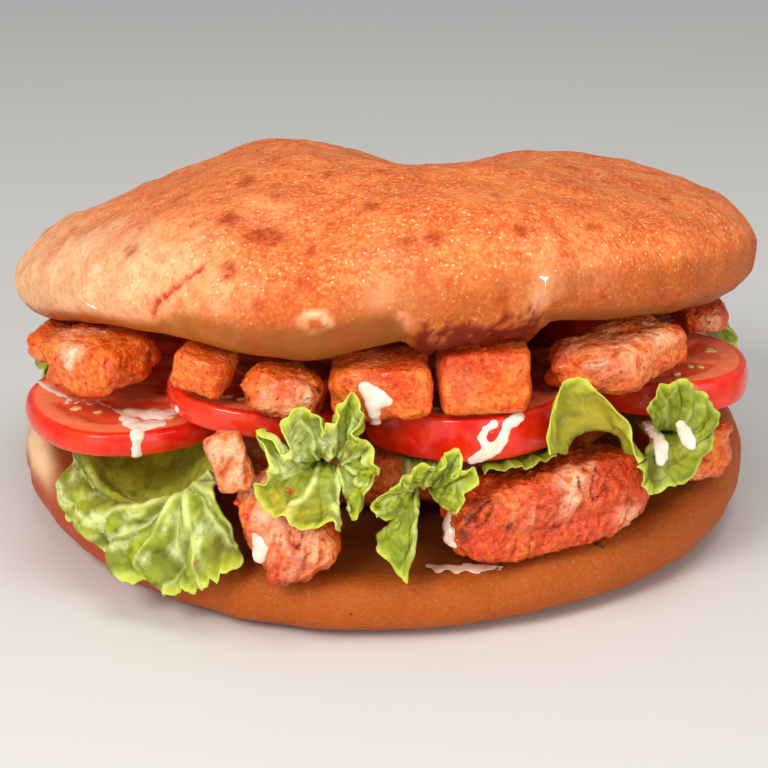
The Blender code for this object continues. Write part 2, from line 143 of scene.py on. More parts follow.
def hashed(cells, seed):
    """A random-looking number from 0 to 1 for each whole-number cell."""
    whole = cells.astype(np.int64)
    mixed = whole[:, 0] * 73856093 ^ whole[:, 1] * 19349663 ^ whole[:, 2] * 83492791 ^ (seed + 1) * 40503017
    mixed = (mixed ^ (mixed >> 13)) * 1274126177
    return ((mixed ^ (mixed >> 16)) & 0xFFFF) / 65535.0


def noise(points, scale, seed=0):
    """Smooth noise from about -1 to 1, with lumps about scale wide."""
    at = points / scale
    base = np.floor(at)
    inside = at - base
    fade = inside**3 * (inside * (inside * 6 - 15) + 10)
    total = np.zeros(len(at))
    for corner in np.ndindex(2, 2, 2):
        weight = np.prod(np.where(np.array(corner) == 1, fade, 1 - fade), axis=1)
        slope = np.stack([hashed(base + corner, seed * 3 + k) for k in range(3)], axis=1) * 2 - 1
        total += weight * np.sum(slope * (inside - corner), axis=1)
    return total * 1.5


def rough(points, scale, octaves, seed=0):
    """Noise with finer noise on it."""
    return sum(noise(points, scale / 2**k, seed + 7 * k) / 2**k for k in range(octaves))


def drift(points, scale, seed):
    """Noise in each direction."""
    return np.stack([noise(points, scale, seed + k) for k in range(3)], axis=1)


def spots(points, scale, seed):
    """Distance to the nearest of scattered spots, as a share of scale, and a random number for that spot."""
    at = points / scale
    base = np.floor(at)
    nearest = np.full(len(at), 9.0)
    value = np.zeros(len(at))
    for offset in np.ndindex(3, 3, 3):
        cell = base + np.array(offset) - 1
        spot = cell + np.stack([hashed(cell, seed + k) for k in (11, 12, 13)], axis=1)
        gap = np.linalg.norm(at - spot, axis=1)
        value = np.where(gap < nearest, hashed(cell, seed + 14), value)
        nearest = np.minimum(gap, nearest)
    return nearest, value


def patches(points, places, blur=0.0, seed=0):
    """1 at the middle of each (place, half size), 0 away from them all; a half size may differ by axis."""
    total = np.zeros(len(points))
    warped = points + blur * drift(points, 3.0, seed) if blur else points
    for place, half in places:
        gap = np.linalg.norm((warped - np.array(place)) / np.array(half), axis=1)
        total = np.maximum(total, np.exp(-(gap**2)))
    return total


def line_distance(points, line):
    """Distance from each point to a line through several points."""
    best = np.full(len(points), 1e9)
    for start, stop in zip(line[:-1], line[1:]):
        start, step = np.array(start), np.array(stop) - np.array(start)
        share = np.clip((points - start) @ step / (step @ step), 0.0, 1.0)
        best = np.minimum(best, np.linalg.norm(points - start - share[:, None] * step, axis=1))
    return best


# Meshes


def points_of(mesh):
    flat = np.empty(len(mesh.vertices) * 3, np.float32)
    mesh.vertices.foreach_get("co", flat)
    return flat.reshape(-1, 3).astype(float) / MM


def normals_of(mesh):
    flat = np.empty(len(mesh.vertices) * 3, np.float32)
    mesh.vertex_normals.foreach_get("vector", flat)
    return flat.reshape(-1, 3).astype(float)


def move_points(mesh, points):
    mesh.vertices.foreach_set("co", (points * MM).astype(np.float32).ravel())
    mesh.update()


def paint(mesh, **values):
    """Named numbers, one for each vertex, that the material reads."""
    for name, numbers in values.items():
        layer = mesh.attributes.new(name, "FLOAT", "POINT")
        layer.data.foreach_set("value", np.clip(numbers, 0.0, 1.0).astype(np.float32))


def add_piece(name, mesh, finish, nodes=()):
    """A shown piece that rides on the sandwich, and the nodes it stands for."""
    mesh.materials.clear()
    mesh.materials.append(finish)
    mesh.shade_smooth()
    piece = bpy.data.objects.new(name, mesh)
    bpy.context.scene.collection.objects.link(piece)
    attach(piece, "root")
    if nodes:
        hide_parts(*nodes)
    return piece


def mesh_from(name, points, faces):
    mesh = bpy.data.meshes.new(name)
    mesh.from_pydata((np.asarray(points) * MM).tolist(), [], np.asarray(faces).tolist())
    return mesh


def modified(mesh, *steps):
    """The mesh after modifiers, each given as (type, settings)."""
    holder = bpy.data.objects.new("holder", mesh)
    bpy.context.scene.collection.objects.link(holder)
    for kind, settings in steps:
        step = holder.modifiers.new(kind, kind)
        for name, value in settings.items():
            setattr(step, name, value)
    bpy.context.view_layer.update()
    graph = bpy.context.evaluated_depsgraph_get()
    made = bpy.data.meshes.new_from_object(holder.evaluated_get(graph))
    bpy.data.objects.remove(holder)
    bpy.data.meshes.remove(mesh)
    return made


def remeshed(mesh, voxel, smoothing):
    """One closed skin round a mesh, with even faces."""
    return modified(
        mesh,
        ("REMESH", {"mode": "VOXEL", "voxel_size": voxel * MM}),
        ("SMOOTH", {"iterations": smoothing, "factor": 0.5}),
    )


def fine_copy(node, voxel, smoothing):
    """The node's solid as a fine mesh."""
    shape = bmesh.new()
    shape.from_mesh(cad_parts[node].data)
    bmesh.ops.remove_doubles(shape, verts=shape.verts, dist=0.001 * MM)
    mesh = bpy.data.meshes.new(node)
    shape.to_mesh(mesh)
    shape.free()
    return remeshed(mesh, voxel, smoothing)


def grid_faces(rows, columns, closed=False):
    """Faces of a grid of points; closed joins the last column to the first."""
    steps = columns if closed else columns - 1
    row, column = np.meshgrid(np.arange(rows - 1), np.arange(steps), indexing="ij")
    here = row * columns + column
    beside = row * columns + (column + 1) % columns
    return np.stack([here, beside, beside + columns, here + columns], axis=-1).reshape(-1, 4)


# Places given by the photograph


def view_ray(across, down):
    """Start and direction, in millimetres, of the line of sight through a pixel of the photograph."""
    forward = Vector((0, math.cos(VIEW_TILT), -math.sin(VIEW_TILT)))
    upward = Vector((0, math.sin(VIEW_TILT), math.cos(VIEW_TILT)))
    side = (across - VIEW_ORIGIN[0]) / VIEW_FOCUS
    rise = (VIEW_ORIGIN[1] - down) / VIEW_FOCUS
    return Vector(VIEW_PLACE), (forward + Vector((side, 0, 0)) + upward * rise).normalized()


def tree_of(*meshes):
    """A search tree over meshes, in millimetres."""
    points, faces, count = [], [], 0
    for mesh in meshes:
        here = points_of(mesh)
        points.extend(here.tolist())
        faces.extend([[count + v for v in face.vertices] for face in mesh.polygons])
        count += len(here)
    return BVHTree.FromPolygons(points, faces)


def seen_at(tree, across, down):
    """The point and normal that a pixel of the photograph shows, or None."""
    place, normal, _, _ = tree.ray_cast(*view_ray(across, down))
    return (place, normal) if place else None


# Materials


def screen(colour):
    """A colour as a screen shows it, as the shader wants it."""
    shares = [c / 255 for c in colour]
    linear = [s / 12.92 if s <= 0.04045 else ((s + 0.055) / 1.055) ** 2.4 for s in shares]
    return (*linear, 1.0)


class Finish:
    """A Principled material with short ways to add nodes."""

    def __init__(self, name, **sockets):
        self.material = bpy.data.materials.new(name)
        self.material.use_nodes = True
        self.tree = self.material.node_tree
        self.shader = self.tree.nodes["Principled BSDF"]
        for socket, value in sockets.items():
            self.shader.inputs[socket.replace("_", " ")].default_value = value
        self.place = self.add("ShaderNodeTexCoord").outputs["Object"]

    def add(self, kind, links=(), **settings):
        node = self.tree.nodes.new(kind)
        for name, value in settings.items():
            setattr(node, name, value)
        for socket, value in links:
            if isinstance(value, bpy.types.NodeSocket):
                self.tree.links.new(value, node.inputs[socket])
            else:
                node.inputs[socket].default_value = value
        return node

    def painted(self, name):
        return self.add("ShaderNodeAttribute", attribute_name=name).outputs["Fac"]

    def clouds(self, size, detail=2.0, roughness=0.5):
        """Noise with lumps about size millimetres wide, from 0 to 1."""
        look = [("Scale", 1 / (size * MM)), ("Detail", detail), ("Roughness", roughness)]
        return self.add("ShaderNodeTexNoise", [("Vector", self.place), *look]).outputs["Fac"]

    def grains(self, size):
        """Distance to scattered grains about size millimetres apart."""
        links = [("Vector", self.place), ("Scale", 1 / (size * MM))]
        return self.add("ShaderNodeTexVoronoi", links).outputs[0]

    def steps(self, factor, low, high, start=0.0, stop=1.0):
        """factor from low to high becomes start to stop."""
        ends = [("From Min", low), ("From Max", high), ("To Min", start), ("To Max", stop)]
        return self.add("ShaderNodeMapRange", [("Value", factor), *ends]).outputs[0]

    def sum(self, a, b):
        return self.add("ShaderNodeMath", [(0, a), (1, b)]).outputs[0]

    def times(self, a, b):
        return self.add("ShaderNodeMath", [(0, a), (1, b)], operation="MULTIPLY").outputs[0]

    def mix(self, factor, a, b, blend="MIX"):
        """Colour a where factor is 0 and b where it is 1."""
        a, b = (screen(c) if isinstance(c, tuple) else c for c in (a, b))
        links = [(0, factor), (6, a), (7, b)]
        return self.add("ShaderNodeMix", links, data_type="RGBA", blend_type=blend).outputs[2]

    def bump(self, height, depth, before=None):
        """Relief finer than the mesh, depth in millimetres."""
        links = [("Height", height), ("Distance", depth * MM), ("Strength", 1.0)]
        if before:
            links.append(("Normal", before))
        return self.add("ShaderNodeBump", links).outputs[0]

    def set(self, socket, value):
        self.tree.links.new(value, self.shader.inputs[socket])


def bread_finish():
    """Baked crust: sandy and speckled, with scorched blisters; the cut faces are oily crumb."""
    made = Finish(
        "baked_crust",
        Subsurface_Weight=0.1,
        Subsurface_Radius=(0.004, 0.0015, 0.0006),
        Subsurface_Scale=0.4,
        Specular_IOR_Level=0.18,
    )
    pale, scorch, crumb, oil, base = (made.painted(n) for n in ("pale", "scorch", "crumb", "oil", "base"))
    stained = made.painted("stained")
    rest = made.steps(base, 0, 1, 1.0, 0.1)
    broad = made.clouds(13.0, 4.0, 0.62)
    medium = made.clouds(3.2, 3.0, 0.6)
    fine = made.clouds(1.5, 3.0, 0.62)
    sand = made.clouds(0.9, 2.0, 0.5)
    colour = made.mix(made.steps(broad, 0.38, 0.62), CRUST_DEEP, CRUST)
    colour = made.mix(made.steps(base, 0, 1, 0.0, 0.9), colour, BASE_CRUST)
    # The pale attribute paints cream crust together with painted light and painted highlights
    pallor = made.sum(pale, made.times(made.steps(medium, 0.48, 0.76, 0, 0.2), rest))
    colour = made.mix(pallor, colour, CRUST_PALE_AND_LIT)
    mottled = made.times(made.steps(medium, 0.5, 0.34, 0, 0.5), rest)
    colour = made.mix(made.times(mottled, made.steps(pale, 0, 1, 1.0, 0.35)), colour, CRUST_DOT)
    grain = made.times(made.steps(sand, 0.44, 0.7, 0, 0.62), rest)
    colour = made.mix(grain, colour, CRUST_GRAIN)
    dots = made.times(made.steps(fine, 0.45, 0.3, 0, 0.7), rest)
    dots = made.times(dots, made.steps(pale, 0, 1, 1.0, 0.3))
    colour = made.mix(dots, colour, CRUST_DOT)
    glints = made.times(made.steps(made.grains(1.9), 0.2, 0.08, 0, 0.75), rest)
    colour = made.mix(glints, colour, CRUST_GLINT)
    toasted = made.times(scorch, made.steps(fine, 0.36, 0.6, 0.5, 0.95))
    colour = made.mix(toasted, colour, SCORCH)
    inside = made.mix(made.steps(made.clouds(5.0, 3.0), 0.35, 0.65), CRUMB, CRUMB_PALE)
    # The lower loaf's crumb is painted darker
    inside = made.mix(made.steps(base, 0, 1, 0.0, 0.85), inside, CRUMB_LOWER)
    inside = made.mix(made.steps(fine, 0.48, 0.35, 0, 0.3), inside, CRUMB_PORE)
    colour = made.mix(crumb, colour, inside)
    colour = made.mix(made.times(oil, 0.9), colour, OIL)
    # Dark red under the torn lip: a red stain and painted shade
    colour = made.mix(made.times(stained, 0.95), colour, OIL_DARK_AND_SHADE)
    made.set("Base Color", colour)
    made.set("Roughness", made.steps(made.sum(oil, made.times(crumb, 0.5)), 0, 1, 0.62, 0.24))
    relief = made.bump(made.times(fine, made.steps(crumb, 0, 1, 1.0, 0.4)), 0.5)
    texture = made.times(made.times(sand, rest), made.steps(crumb, 0, 1, 1.0, 0.2))
    made.set("Normal", made.bump(texture, 0.3, relief))
    return made.material


def chicken_finish():
    """Grilled chicken: spiced outside, pale torn fibres, and dark creases, partly char and partly painted
    shade.
    """
    made = Finish(
        "grilled_chicken",
        Subsurface_Weight=0.15,
        Subsurface_Radius=(0.004, 0.0015, 0.0008),
        Subsurface_Scale=0.3,
        Coat_Weight=0.35,
        Coat_Roughness=0.14,
        Specular_IOR_Level=0.18,
    )
    pale, deep, tint, strand = (made.painted(n) for n in ("pale", "deep", "tint", "strand"))
    fine = made.clouds(1.2, 3.0, 0.65)
    blotches = made.clouds(3.2, 4.0, 0.65)
    colour = made.mix(made.steps(blotches, 0.4, 0.64), CHICKEN_SPICE, CHICKEN_LIGHT)
    colour = made.mix(made.times(tint, 0.75), colour, CHICKEN_RED)
    colour = made.mix(made.steps(fine, 0.47, 0.3, 0.0, 0.75), colour, CHICKEN_SPECK)
    colour = made.mix(made.steps(fine, 0.55, 0.7, 0.0, 0.4), colour, CHICKEN_FLECK)
    strands = made.mix(made.steps(strand, 0.22, 0.52), STRAND_DEEP, CHICKEN_PALE)
    strands = made.mix(made.steps(strand, 0.54, 0.86, 0, 0.8), strands, STRAND_LIGHT)
    colour = made.mix(made.times(pale, made.steps(fine, 0.32, 0.5, 0.5, 1.0)), colour, strands)
    colour = made.mix(made.times(deep, 0.95), colour, CHICKEN_CHAR_AND_SHADE)
    made.set("Base Color", colour)
    made.set("Roughness", made.steps(blotches, 0.3, 0.7, 0.34, 0.6))
    made.set("Normal", made.bump(made.grains(1.0), 0.35, made.bump(fine, 0.6)))
    return made.material


def tomato_finish():
    """A wet tomato slice: thin shiny skin, paler walls and darker gel."""
    made = Finish(
        "wet_tomato",
        Roughness=0.24,
        Subsurface_Weight=0.2,
        Subsurface_Radius=(0.006, 0.0012, 0.0006),
        Subsurface_Scale=0.5,
        Coat_Weight=0.4,
        Coat_Roughness=0.07,
        Specular_IOR_Level=0.25,
    )
    skin, gel, wall = (made.painted(n) for n in ("skin", "gel", "wall"))
    streaks = made.clouds(2.4, 3.0, 0.6)
    colour = made.mix(made.steps(streaks, 0.35, 0.65), TOMATO_FLESH, TOMATO_STREAK)
    colour = made.mix(made.times(wall, made.steps(streaks, 0.3, 0.6, 0.2, 0.75)), colour, TOMATO_WALL)
    colour = made.mix(made.times(gel, 0.7), colour, TOMATO_GEL)
    rim = made.mix(made.steps(made.clouds(8.0, 3.0), 0.38, 0.62), TOMATO_SKIN, TOMATO_SKIN_LIGHT)
    colour = made.mix(skin, colour, rim)
    made.set("Base Color", colour)
    made.set("Normal", made.bump(made.clouds(1.4, 2.0), 0.12))
    return made.material


def leaf_finish():
    """A fresh lettuce leaf, paler along its ribs and brighter at its margin."""
    made = Finish(
        "lettuce_leaf",
        Subsurface_Weight=0.3,
        Subsurface_Radius=(0.002, 0.0026, 0.0006),
        Subsurface_Scale=0.5,
        Coat_Weight=0.06,
        Coat_Roughness=0.25,
        Specular_IOR_Level=0.2,
    )
    rib, rim, shade, pale, gold = (made.painted(n) for n in ("rib", "rim", "shade", "pale", "gold"))
    fine = made.clouds(1.5, 3.0, 0.6)
    broad = made.clouds(6.0, 3.0, 0.55)
    colour = made.mix(made.steps(broad, 0.4, 0.58), LEAF, LEAF_LIGHT)
    colour = made.mix(made.times(gold, 0.8), colour, LEAF_GOLD)
    colour = made.mix(shade, colour, LEAF_DARK)
    colour = made.mix(made.steps(fine, 0.5, 0.28, 0, 0.5), colour, LEAF_SPECK)
    colour = made.mix(made.times(pale, made.steps(fine, 0.36, 0.6, 0.3, 1.0)), colour, LEAF_PALE)
    colour = made.mix(rim, colour, LEAF_BRIGHT)
    colour = made.mix(made.times(rib, 0.8), colour, LEAF_RIB)
    made.set("Base Color", colour)
    made.set("Roughness", made.steps(fine, 0.3, 0.7, 0.25, 0.42))
    made.set("Normal", made.bump(fine, 0.2))
    return made.material


def sauce_finish():
    """Thick white sauce, a little pink where the spice has stained it."""
    made = Finish(
        "garlic_sauce",
        Roughness=0.25,
        Subsurface_Weight=0.4,
        Subsurface_Radius=(0.003, 0.0018, 0.0012),
        Subsurface_Scale=0.4,
        Coat_Weight=0.4,
        Coat_Roughness=0.12,
    )
    stain = made.painted("stain")
    clouds = made.clouds(2.6, 3.0, 0.6)
    colour = made.mix(made.steps(clouds, 0.4, 0.7, 0, 0.6), SAUCE, SAUCE_WARM)
    colour = made.mix(made.times(stain, 0.8), colour, SAUCE_STAIN)
    made.set("Base Color", colour)
    made.set("Normal", made.bump(made.clouds(1.2, 2.0), 0.08))
    return made.material


def plain_finish(name, colour, other, size, roughness, coat):
    """Two mixed colours, for small bits, seeds and flakes."""
    made = Finish(name, Roughness=roughness, Coat_Weight=coat, Coat_Roughness=0.15)
    made.set("Base Color", made.mix(made.steps(made.clouds(size, 3.0), 0.35, 0.65), colour, other))
    made.set("Normal", made.bump(made.clouds(size, 2.0), 0.1))
    return made.material


# The loaf

BLISTERS = (
    # pixel across and down, half width and half height in millimetres, depth of colour
    (294, 229, 5.2, 1.9, 1.0), (275, 171, 3.0, 1.5, 0.8), (257, 210, 3.0, 1.7, 0.85),
    (205, 189, 4.0, 1.4, 0.55), (341, 244, 2.0, 1.4, 0.8), (294, 142, 2.2, 1.3, 0.6),
    (360, 166, 2.6, 1.3, 0.65), (157, 243, 4.6, 2.2, 0.5), (257, 264, 2.8, 2.0, 0.75),
    (332, 276, 4.4, 3.2, 0.5), (318, 292, 3.0, 2.0, 0.45), (221, 217, 2.6, 1.0, 0.55),
    (308, 190, 2.2, 1.5, 0.6), (285, 302, 2.0, 1.8, 0.6), (418, 160, 2.2, 1.2, 0.85),
    (403, 198, 3.0, 1.5, 0.75), (470, 227, 2.4, 1.5, 0.95), (442, 231, 2.8, 1.3, 0.65),
    (559, 224, 2.2, 1.3, 0.95), (616, 158, 2.4, 1.3, 0.7), (694, 162, 2.4, 1.3, 0.7),
    (711, 190, 3.0, 1.3, 0.65), (534, 185, 2.6, 1.4, 0.5), (632, 218, 6.0, 1.0, 0.55),
    (541, 286, 3.2, 2.4, 0.55), (458, 272, 2.2, 3.0, 0.5), (677, 306, 0.9, 0.7, 0.8),
    (644, 288, 0.8, 0.7, 0.7),
)
BUBBLES = ((347, 317, 3.2, 1.7, 1.5), (92, 232, 2.0, 2.4, 0.7), (55, 262, 2.2, 2.6, 0.5))
CREASE = ((226, 262), (216, 270), (203, 280), (190, 289), (181, 298), (177, 308))
# Pale places on the crust: partly its own cream colour, partly painted light on the lit left end and a small
# painted highlight
PALE_AND_LIT_CRUST = (
    # pixel across and down, radius in millimetres, strength
    (75, 262, 13.0, 0.9), (100, 245, 13.0, 0.9), (150, 268, 14.0, 0.8), (190, 262, 12.0, 0.6),
    (110, 285, 13.0, 0.9), (205, 240, 8.0, 0.35), (240, 285, 8.0, 0.35), (300, 205, 8.0, 0.2),
    (425, 262, 9.0, 0.15), (414, 290, 4.0, 0.3), (585, 250, 7.0, 0.15), (438, 316, 2.0, 0.6),
    (585, 276, 4.0, 0.4), (640, 250, 7.0, 0.15),
)
# Heights over which one part of the loaf's surface gives way to the next
BASE_TOP = (22.0, 30.0)
FLOOR_CRUMB_TOP = (26.0, 30.0)
LID_UNDERSIDE = (27.0, 31.0)
LID_SIDE = (44.0, 50.0)
# The solid's faces are a little inside the crust that the photograph shows
CRUST_RISE = 0.35
# The torn lip over the right pieces of chicken: where it starts and ends, and how far it hangs down
TORN_LIP = (4.0, 38.0)
LIP_FADE = 5.0
LIP_DROOP = 3.0


def build_bread(finish):
    mesh = fine_copy("bread", BREAD_VOXEL, BREAD_SMOOTHING)
    points, normals = points_of(mesh), normals_of(mesh)
    points += normals * CRUST_RISE
    x, y = points[:, 0], points[:, 1]
    tree = tree_of(mesh)
    reach = np.hypot(x, y)
    bearing = np.arctan2(x, -y)
    height, facing = points[:, 2], normals[:, 2]
    outer_back = smooth(np.abs(bearing), 1.9, 2.1) * smooth(reach, 78.0, 84.0)
    sagging = smooth(x, -56.0, -44.0) * falls(x, 0.0, 8.0) * falls(y, -80.0, -70.0)
    under_upper = smooth(0.5 * sagging - facing, 0.35, 0.7) * smooth(height, *LID_UNDERSIDE)
    over_lower = smooth(facing, 0.45, 0.8) * falls(height, *FLOOR_CRUMB_TOP) * falls(reach, 88.0, 92.0)
    crumb = np.clip(under_upper + over_lower, 0, 1) * (1 - outer_back)
    base = falls(height, *BASE_TOP)
    ragged = noise(points, 2.0, 31) + 0.5 * noise(points, 1.1, 33)

    def at_pixels(rows, blur, seed):
        """Strongest of the soft spots at pixels of the photograph, each with its half sizes and strength."""
        total = np.zeros(len(points))
        warped = points + blur * drift(points, 3.0, seed)
        for across, down, *sizes, share in rows:
            seen = seen_at(tree, across, down)
            if seen:
                wide, tall = sizes[0], sizes[-1]
                half = (wide, wide, wide) if len(sizes) == 1 else (wide, tall * 2.2, tall * 1.2)
                total = np.maximum(total, share * patches(warped, [(seen[0], half)]))
        return total

    blister = at_pixels(BLISTERS, 1.2, 1)
    scorch = smooth(blister + 0.14 * ragged, 0.14, 0.62)
    bubble = at_pixels(BUBBLES, 0.6, 2)
    gap, draw = spots(points, 17.0, 5)
    scattered = falls(gap, 0.07, 0.2) * smooth(draw, 0.25, 0.9) * (1 - crumb)
    hidden = smooth(y, 5.0, 25.0) * (1 - base)
    scorch = np.maximum(scorch, scattered * hidden * smooth(ragged, -0.5, 0.4) * 0.9)
    gap, draw = spots(points + 0.6 * ragged[:, None], 8.5, 9)
    freckles = falls(gap, 0.08, 0.26) * (draw > 0.5) * (1 - crumb) * (1 - base)
    scorch = np.maximum(scorch, freckles * 0.5)
    # The left front of the lid is painted paler: partly cream crust, partly painted light from the left
    lit_left_front = falls(x, -78.0, -30.0) * falls(height, 66.0, 92.0) * falls(y, -15.0, 30.0)
    pale = np.maximum(at_pixels(PALE_AND_LIT_CRUST, 2.5, 3), 0.8 * lit_left_front) * (1 - base)
    pale *= 1 - 0.25 * smooth(noise(points, 7.0, 41), 0.0, 0.7)
    # The top-lit left end of the lower loaf's rim is painted pale: painted light
    lit_rim_left = falls(x, -88.0, -80.0) * smooth(height, 13.0, 19.0) * falls(height, 38.0, 44.0)
    pale = np.maximum(pale, lit_rim_left * falls(y, -20.0, 20.0))
    # The upper side of each bubble's ring is painted pale: a painted highlight
    bubble_highlight = smooth(bubble, 0.15, 0.5) * (1 - smooth(bubble, 0.6, 0.95)) * smooth(facing, -0.7, -0.2)
    pale = np.maximum(pale, 0.8 * bubble_highlight)
    crease = [seen_at(tree, *pixel) for pixel in CREASE]
    from_crease = line_distance(points, [seen[0] for seen in crease if seen])
    from_crease = from_crease + 0.6 * noise(points, 2.2, 4)
    oil = falls(from_crease, 0.5, 1.1)
    lip = falls(facing, -0.35, 0.0) * smooth(height, 45.0, 50.0) * falls(y, -60.0, -30.0)
    along_lip = x + 2.0 * noise(points, 6.0, 71)
    lip_start, lip_end = TORN_LIP
    torn_lip = smooth(along_lip, lip_start, lip_start + LIP_FADE)
    torn_lip *= falls(along_lip, lip_end - LIP_FADE, lip_end)
    torn_lip *= falls(y, -85.0, -80.0) * smooth(height, 58.0, 62.0) * falls(facing, -0.1, 0.5)
    # Under the torn lip the crust is painted dark red: partly a red stain, partly painted shade of the lip's
    # underside
    red_stain_and_shade = smooth(torn_lip, 0.4, 0.6) * smooth(0.45 * ragged - facing, 0.22, 0.36)
    oil = np.maximum(oil, 0.4 * lip * smooth(noise(points, 9.0, 21), 0.1, 0.7))
    # The lower loaf's left edge under the draped leaf is painted red-brown with the oil colour: painted shade
    shaded_lower_edge = falls(x, -72.0, -40.0) * base * falls(height, 16.0, 26.0) * (1 - lit_rim_left)
    oil = np.maximum(oil, 0.6 * shaded_lower_edge * (0.75 + 0.3 * ragged))
    upper = smooth(height, *LID_SIDE)
    # Crust of the lid that is turned away from above takes the darker crust colour of the lower loaf: painted
    # shade
    side_shade = falls(facing, 0.15, 0.62) * upper * smooth(x, -60.0, -10.0)
    back_shade = smooth(y, -20.0, 20.0) * falls(facing, 0.05, 0.5) * upper
    swell = 1.0 * rough(points, 15.0, 2, 1) + 0.3 * noise(points, 5.5, 2) + 0.1 * noise(points, 2.8, 8)
    swell *= 1 - 0.6 * base
    relief = swell * (1 - 0.6 * crumb) + 0.5 * blister + bubble * 1.1 - 0.9 * falls(from_crease, 0.0, 1.1)
    relief += torn_lip * (1.0 * noise(points, 4.0, 51) + 0.6 * ragged)
    relief *= smooth(height, 0.0, 4.0)
    moved = points + normals * relief[:, None]
    moved[:, 2] -= LIP_DROOP * torn_lip * (1 + 0.35 * noise(points, 5.0, 61))
    moved[:, 2] = np.maximum(moved[:, 2], 0.02)
    move_points(mesh, moved)
    base = np.maximum(base, 0.8 * np.maximum(side_shade, back_shade) * (1 - 0.5 * pale))
    paint(mesh, pale=pale, scorch=scorch, crumb=crumb * (1 - torn_lip), oil=oil, base=base, stained=red_stain_and_shade)
    return add_piece("loaf", mesh, finish, ["bread"])


# The chicken

PALE_MEAT = (
    # pixel across and down, radius in millimetres, strength
    (90, 348, 3.6, 1.0), (96, 330, 3.4, 0.9), (92, 362, 3.0, 0.8), (302, 400, 3.2, 0.7),
    (335, 394, 3.6, 0.9), (318, 408, 2.6, 0.6), (405, 356, 3.0, 0.5), (490, 385, 4.0, 0.2),
    (640, 355, 6.0, 0.55), (675, 345, 6.0, 0.7), (705, 330, 4.0, 0.9), (700, 318, 3.0, 1.0),
    (620, 340, 4.0, 0.5), (655, 330, 4.0, 0.5), (252, 455, 4.5, 1.0), (262, 478, 4.0, 0.9),
    (290, 490, 4.5, 1.0), (296, 515, 4.5, 0.9), (306, 542, 5.0, 0.7), (342, 556, 4.5, 0.8),
    (325, 578, 4.0, 0.35), (612, 480, 3.2, 1.0), (618, 500, 3.2, 1.0), (606, 515, 2.6, 0.5),
    (630, 470, 2.4, 0.6), (565, 520, 3.6, 0.35), (672, 520, 3.2, 0.9), (720, 500, 3.5, 0.6),
)
# pixel across and down, radius in millimetres, strength: dark spots, partly dark char, partly painted shade
# under the lid's lip and at the bottoms of pieces
DARK_AND_SHADED_MEAT = (
    (548, 531, 1.0, 1.0), (350, 388, 0.9, 1.0), (512, 505, 1.5, 0.9), (506, 522, 1.4, 0.9),
    (500, 540, 1.8, 0.9), (560, 455, 2.0, 0.8), (585, 460, 1.6, 0.7), (350, 590, 4.0, 0.6),
    (375, 570, 3.0, 0.5), (680, 535, 2.0, 0.8), (100, 320, 3.0, 0.4),
)
HEAPS = ("chicken_bed", "chicken_heart")
# The way each piece's fibres run, where they aren't nearly upright
UPRIGHT = (0.1, 0.1, 1.0)
FIBRES = {
    "chicken_upper_left": (0.2, 0.3, 1.0),
    "chicken_upper_small": (0.3, 0.2, 1.0),
    "chicken_upper_middle": (1.0, 0.2, 0.15),
    "chicken_upper_right": (0.1, 0.2, 1.0),
    "chicken_upper_far": (1.0, 0.0, 0.35),
    "chicken_lower_middle": (0.15, 0.0, 1.0),
    "chicken_lower_right": (0.35, 0.0, 1.0),
}
# The relief of each piece: its fibres, its grains, its creases, and how red the spice is
USUAL_MEAT = (1.0, 1.0, 1.0, 0.0)
MEAT_LOOKS = {
    "chicken_upper_cube": (0.4, 0.5, 0.25, -0.35),
    "chicken_upper_right": (0.6, 0.6, 0.3, -0.2),
    "chicken_upper_middle": (0.6, 0.6, 0.3, -0.2),
    "chicken_upper_left": (1.2, 1.0, 0.6, -0.1),
    "chicken_upper_small": (1.3, 1.1, 1.0, -0.2),
    "chicken_upper_far": (1.4, 1.2, 0.7, -0.2),
    "chicken_lower_splinter": (3.2, 0.8, 1.0, -0.5),
    "chicken_lower_middle": (2.4, 1.3, 1.0, -0.05),
    "chicken_lower_right": (1.5, 1.8, 1.3, 0.6),
    "chicken_lower_far": (1.2, 1.6, 1.0, 0.3),
}


def torn(points, direction, seed, coarse, look):
    """Torn meat: its height, how dark each point is painted (char in its cracks, painted shade in its pits
    and low spots), and the strands along its fibres.
    """
    fibrous, grainy, creased = look
    axis = np.array(direction, float) / np.linalg.norm(direction)
    wander = drift(points, 7.0, seed) * 1.2
    squeezed = points + wander - 0.86 * np.outer(points @ axis, axis)
    strand = noise(squeezed, 2.0 * coarse, seed + 20) + 0.6 * noise(squeezed, 1.1 * coarse, seed + 30)
    lumps = rough(points, 8.0 * coarse, 2, seed + 40)
    grains = rough(points, 1.7 * coarse, 2, seed + 45)
    gap, draw = spots(points + 0.5 * wander, 3.4 * coarse, seed + 50)
    pits = falls(gap, 0.14, 0.4) * smooth(draw, 0.5, 0.95)
    cracks = 1 - smooth(np.abs(noise(squeezed, 5.5 * coarse, seed + 60)), 0.0, 0.08)
    cracks *= smooth(noise(points, 9.0 * coarse, seed + 65), 0.1, 0.4)
    height = 0.24 * fibrous * strand + 0.4 * lumps + 0.3 * grainy * grains
    height -= creased * (0.4 * pits + 0.8 * cracks)
    # Low spots are painted darker: painted shade
    low = smooth(-(0.5 * fibrous * strand + grainy * grains), 0.35, 1.0)
    return height, np.clip(creased * (0.8 * cracks + 0.35 * pits) + 0.3 * low, 0, 1), 0.5 + 0.5 * strand


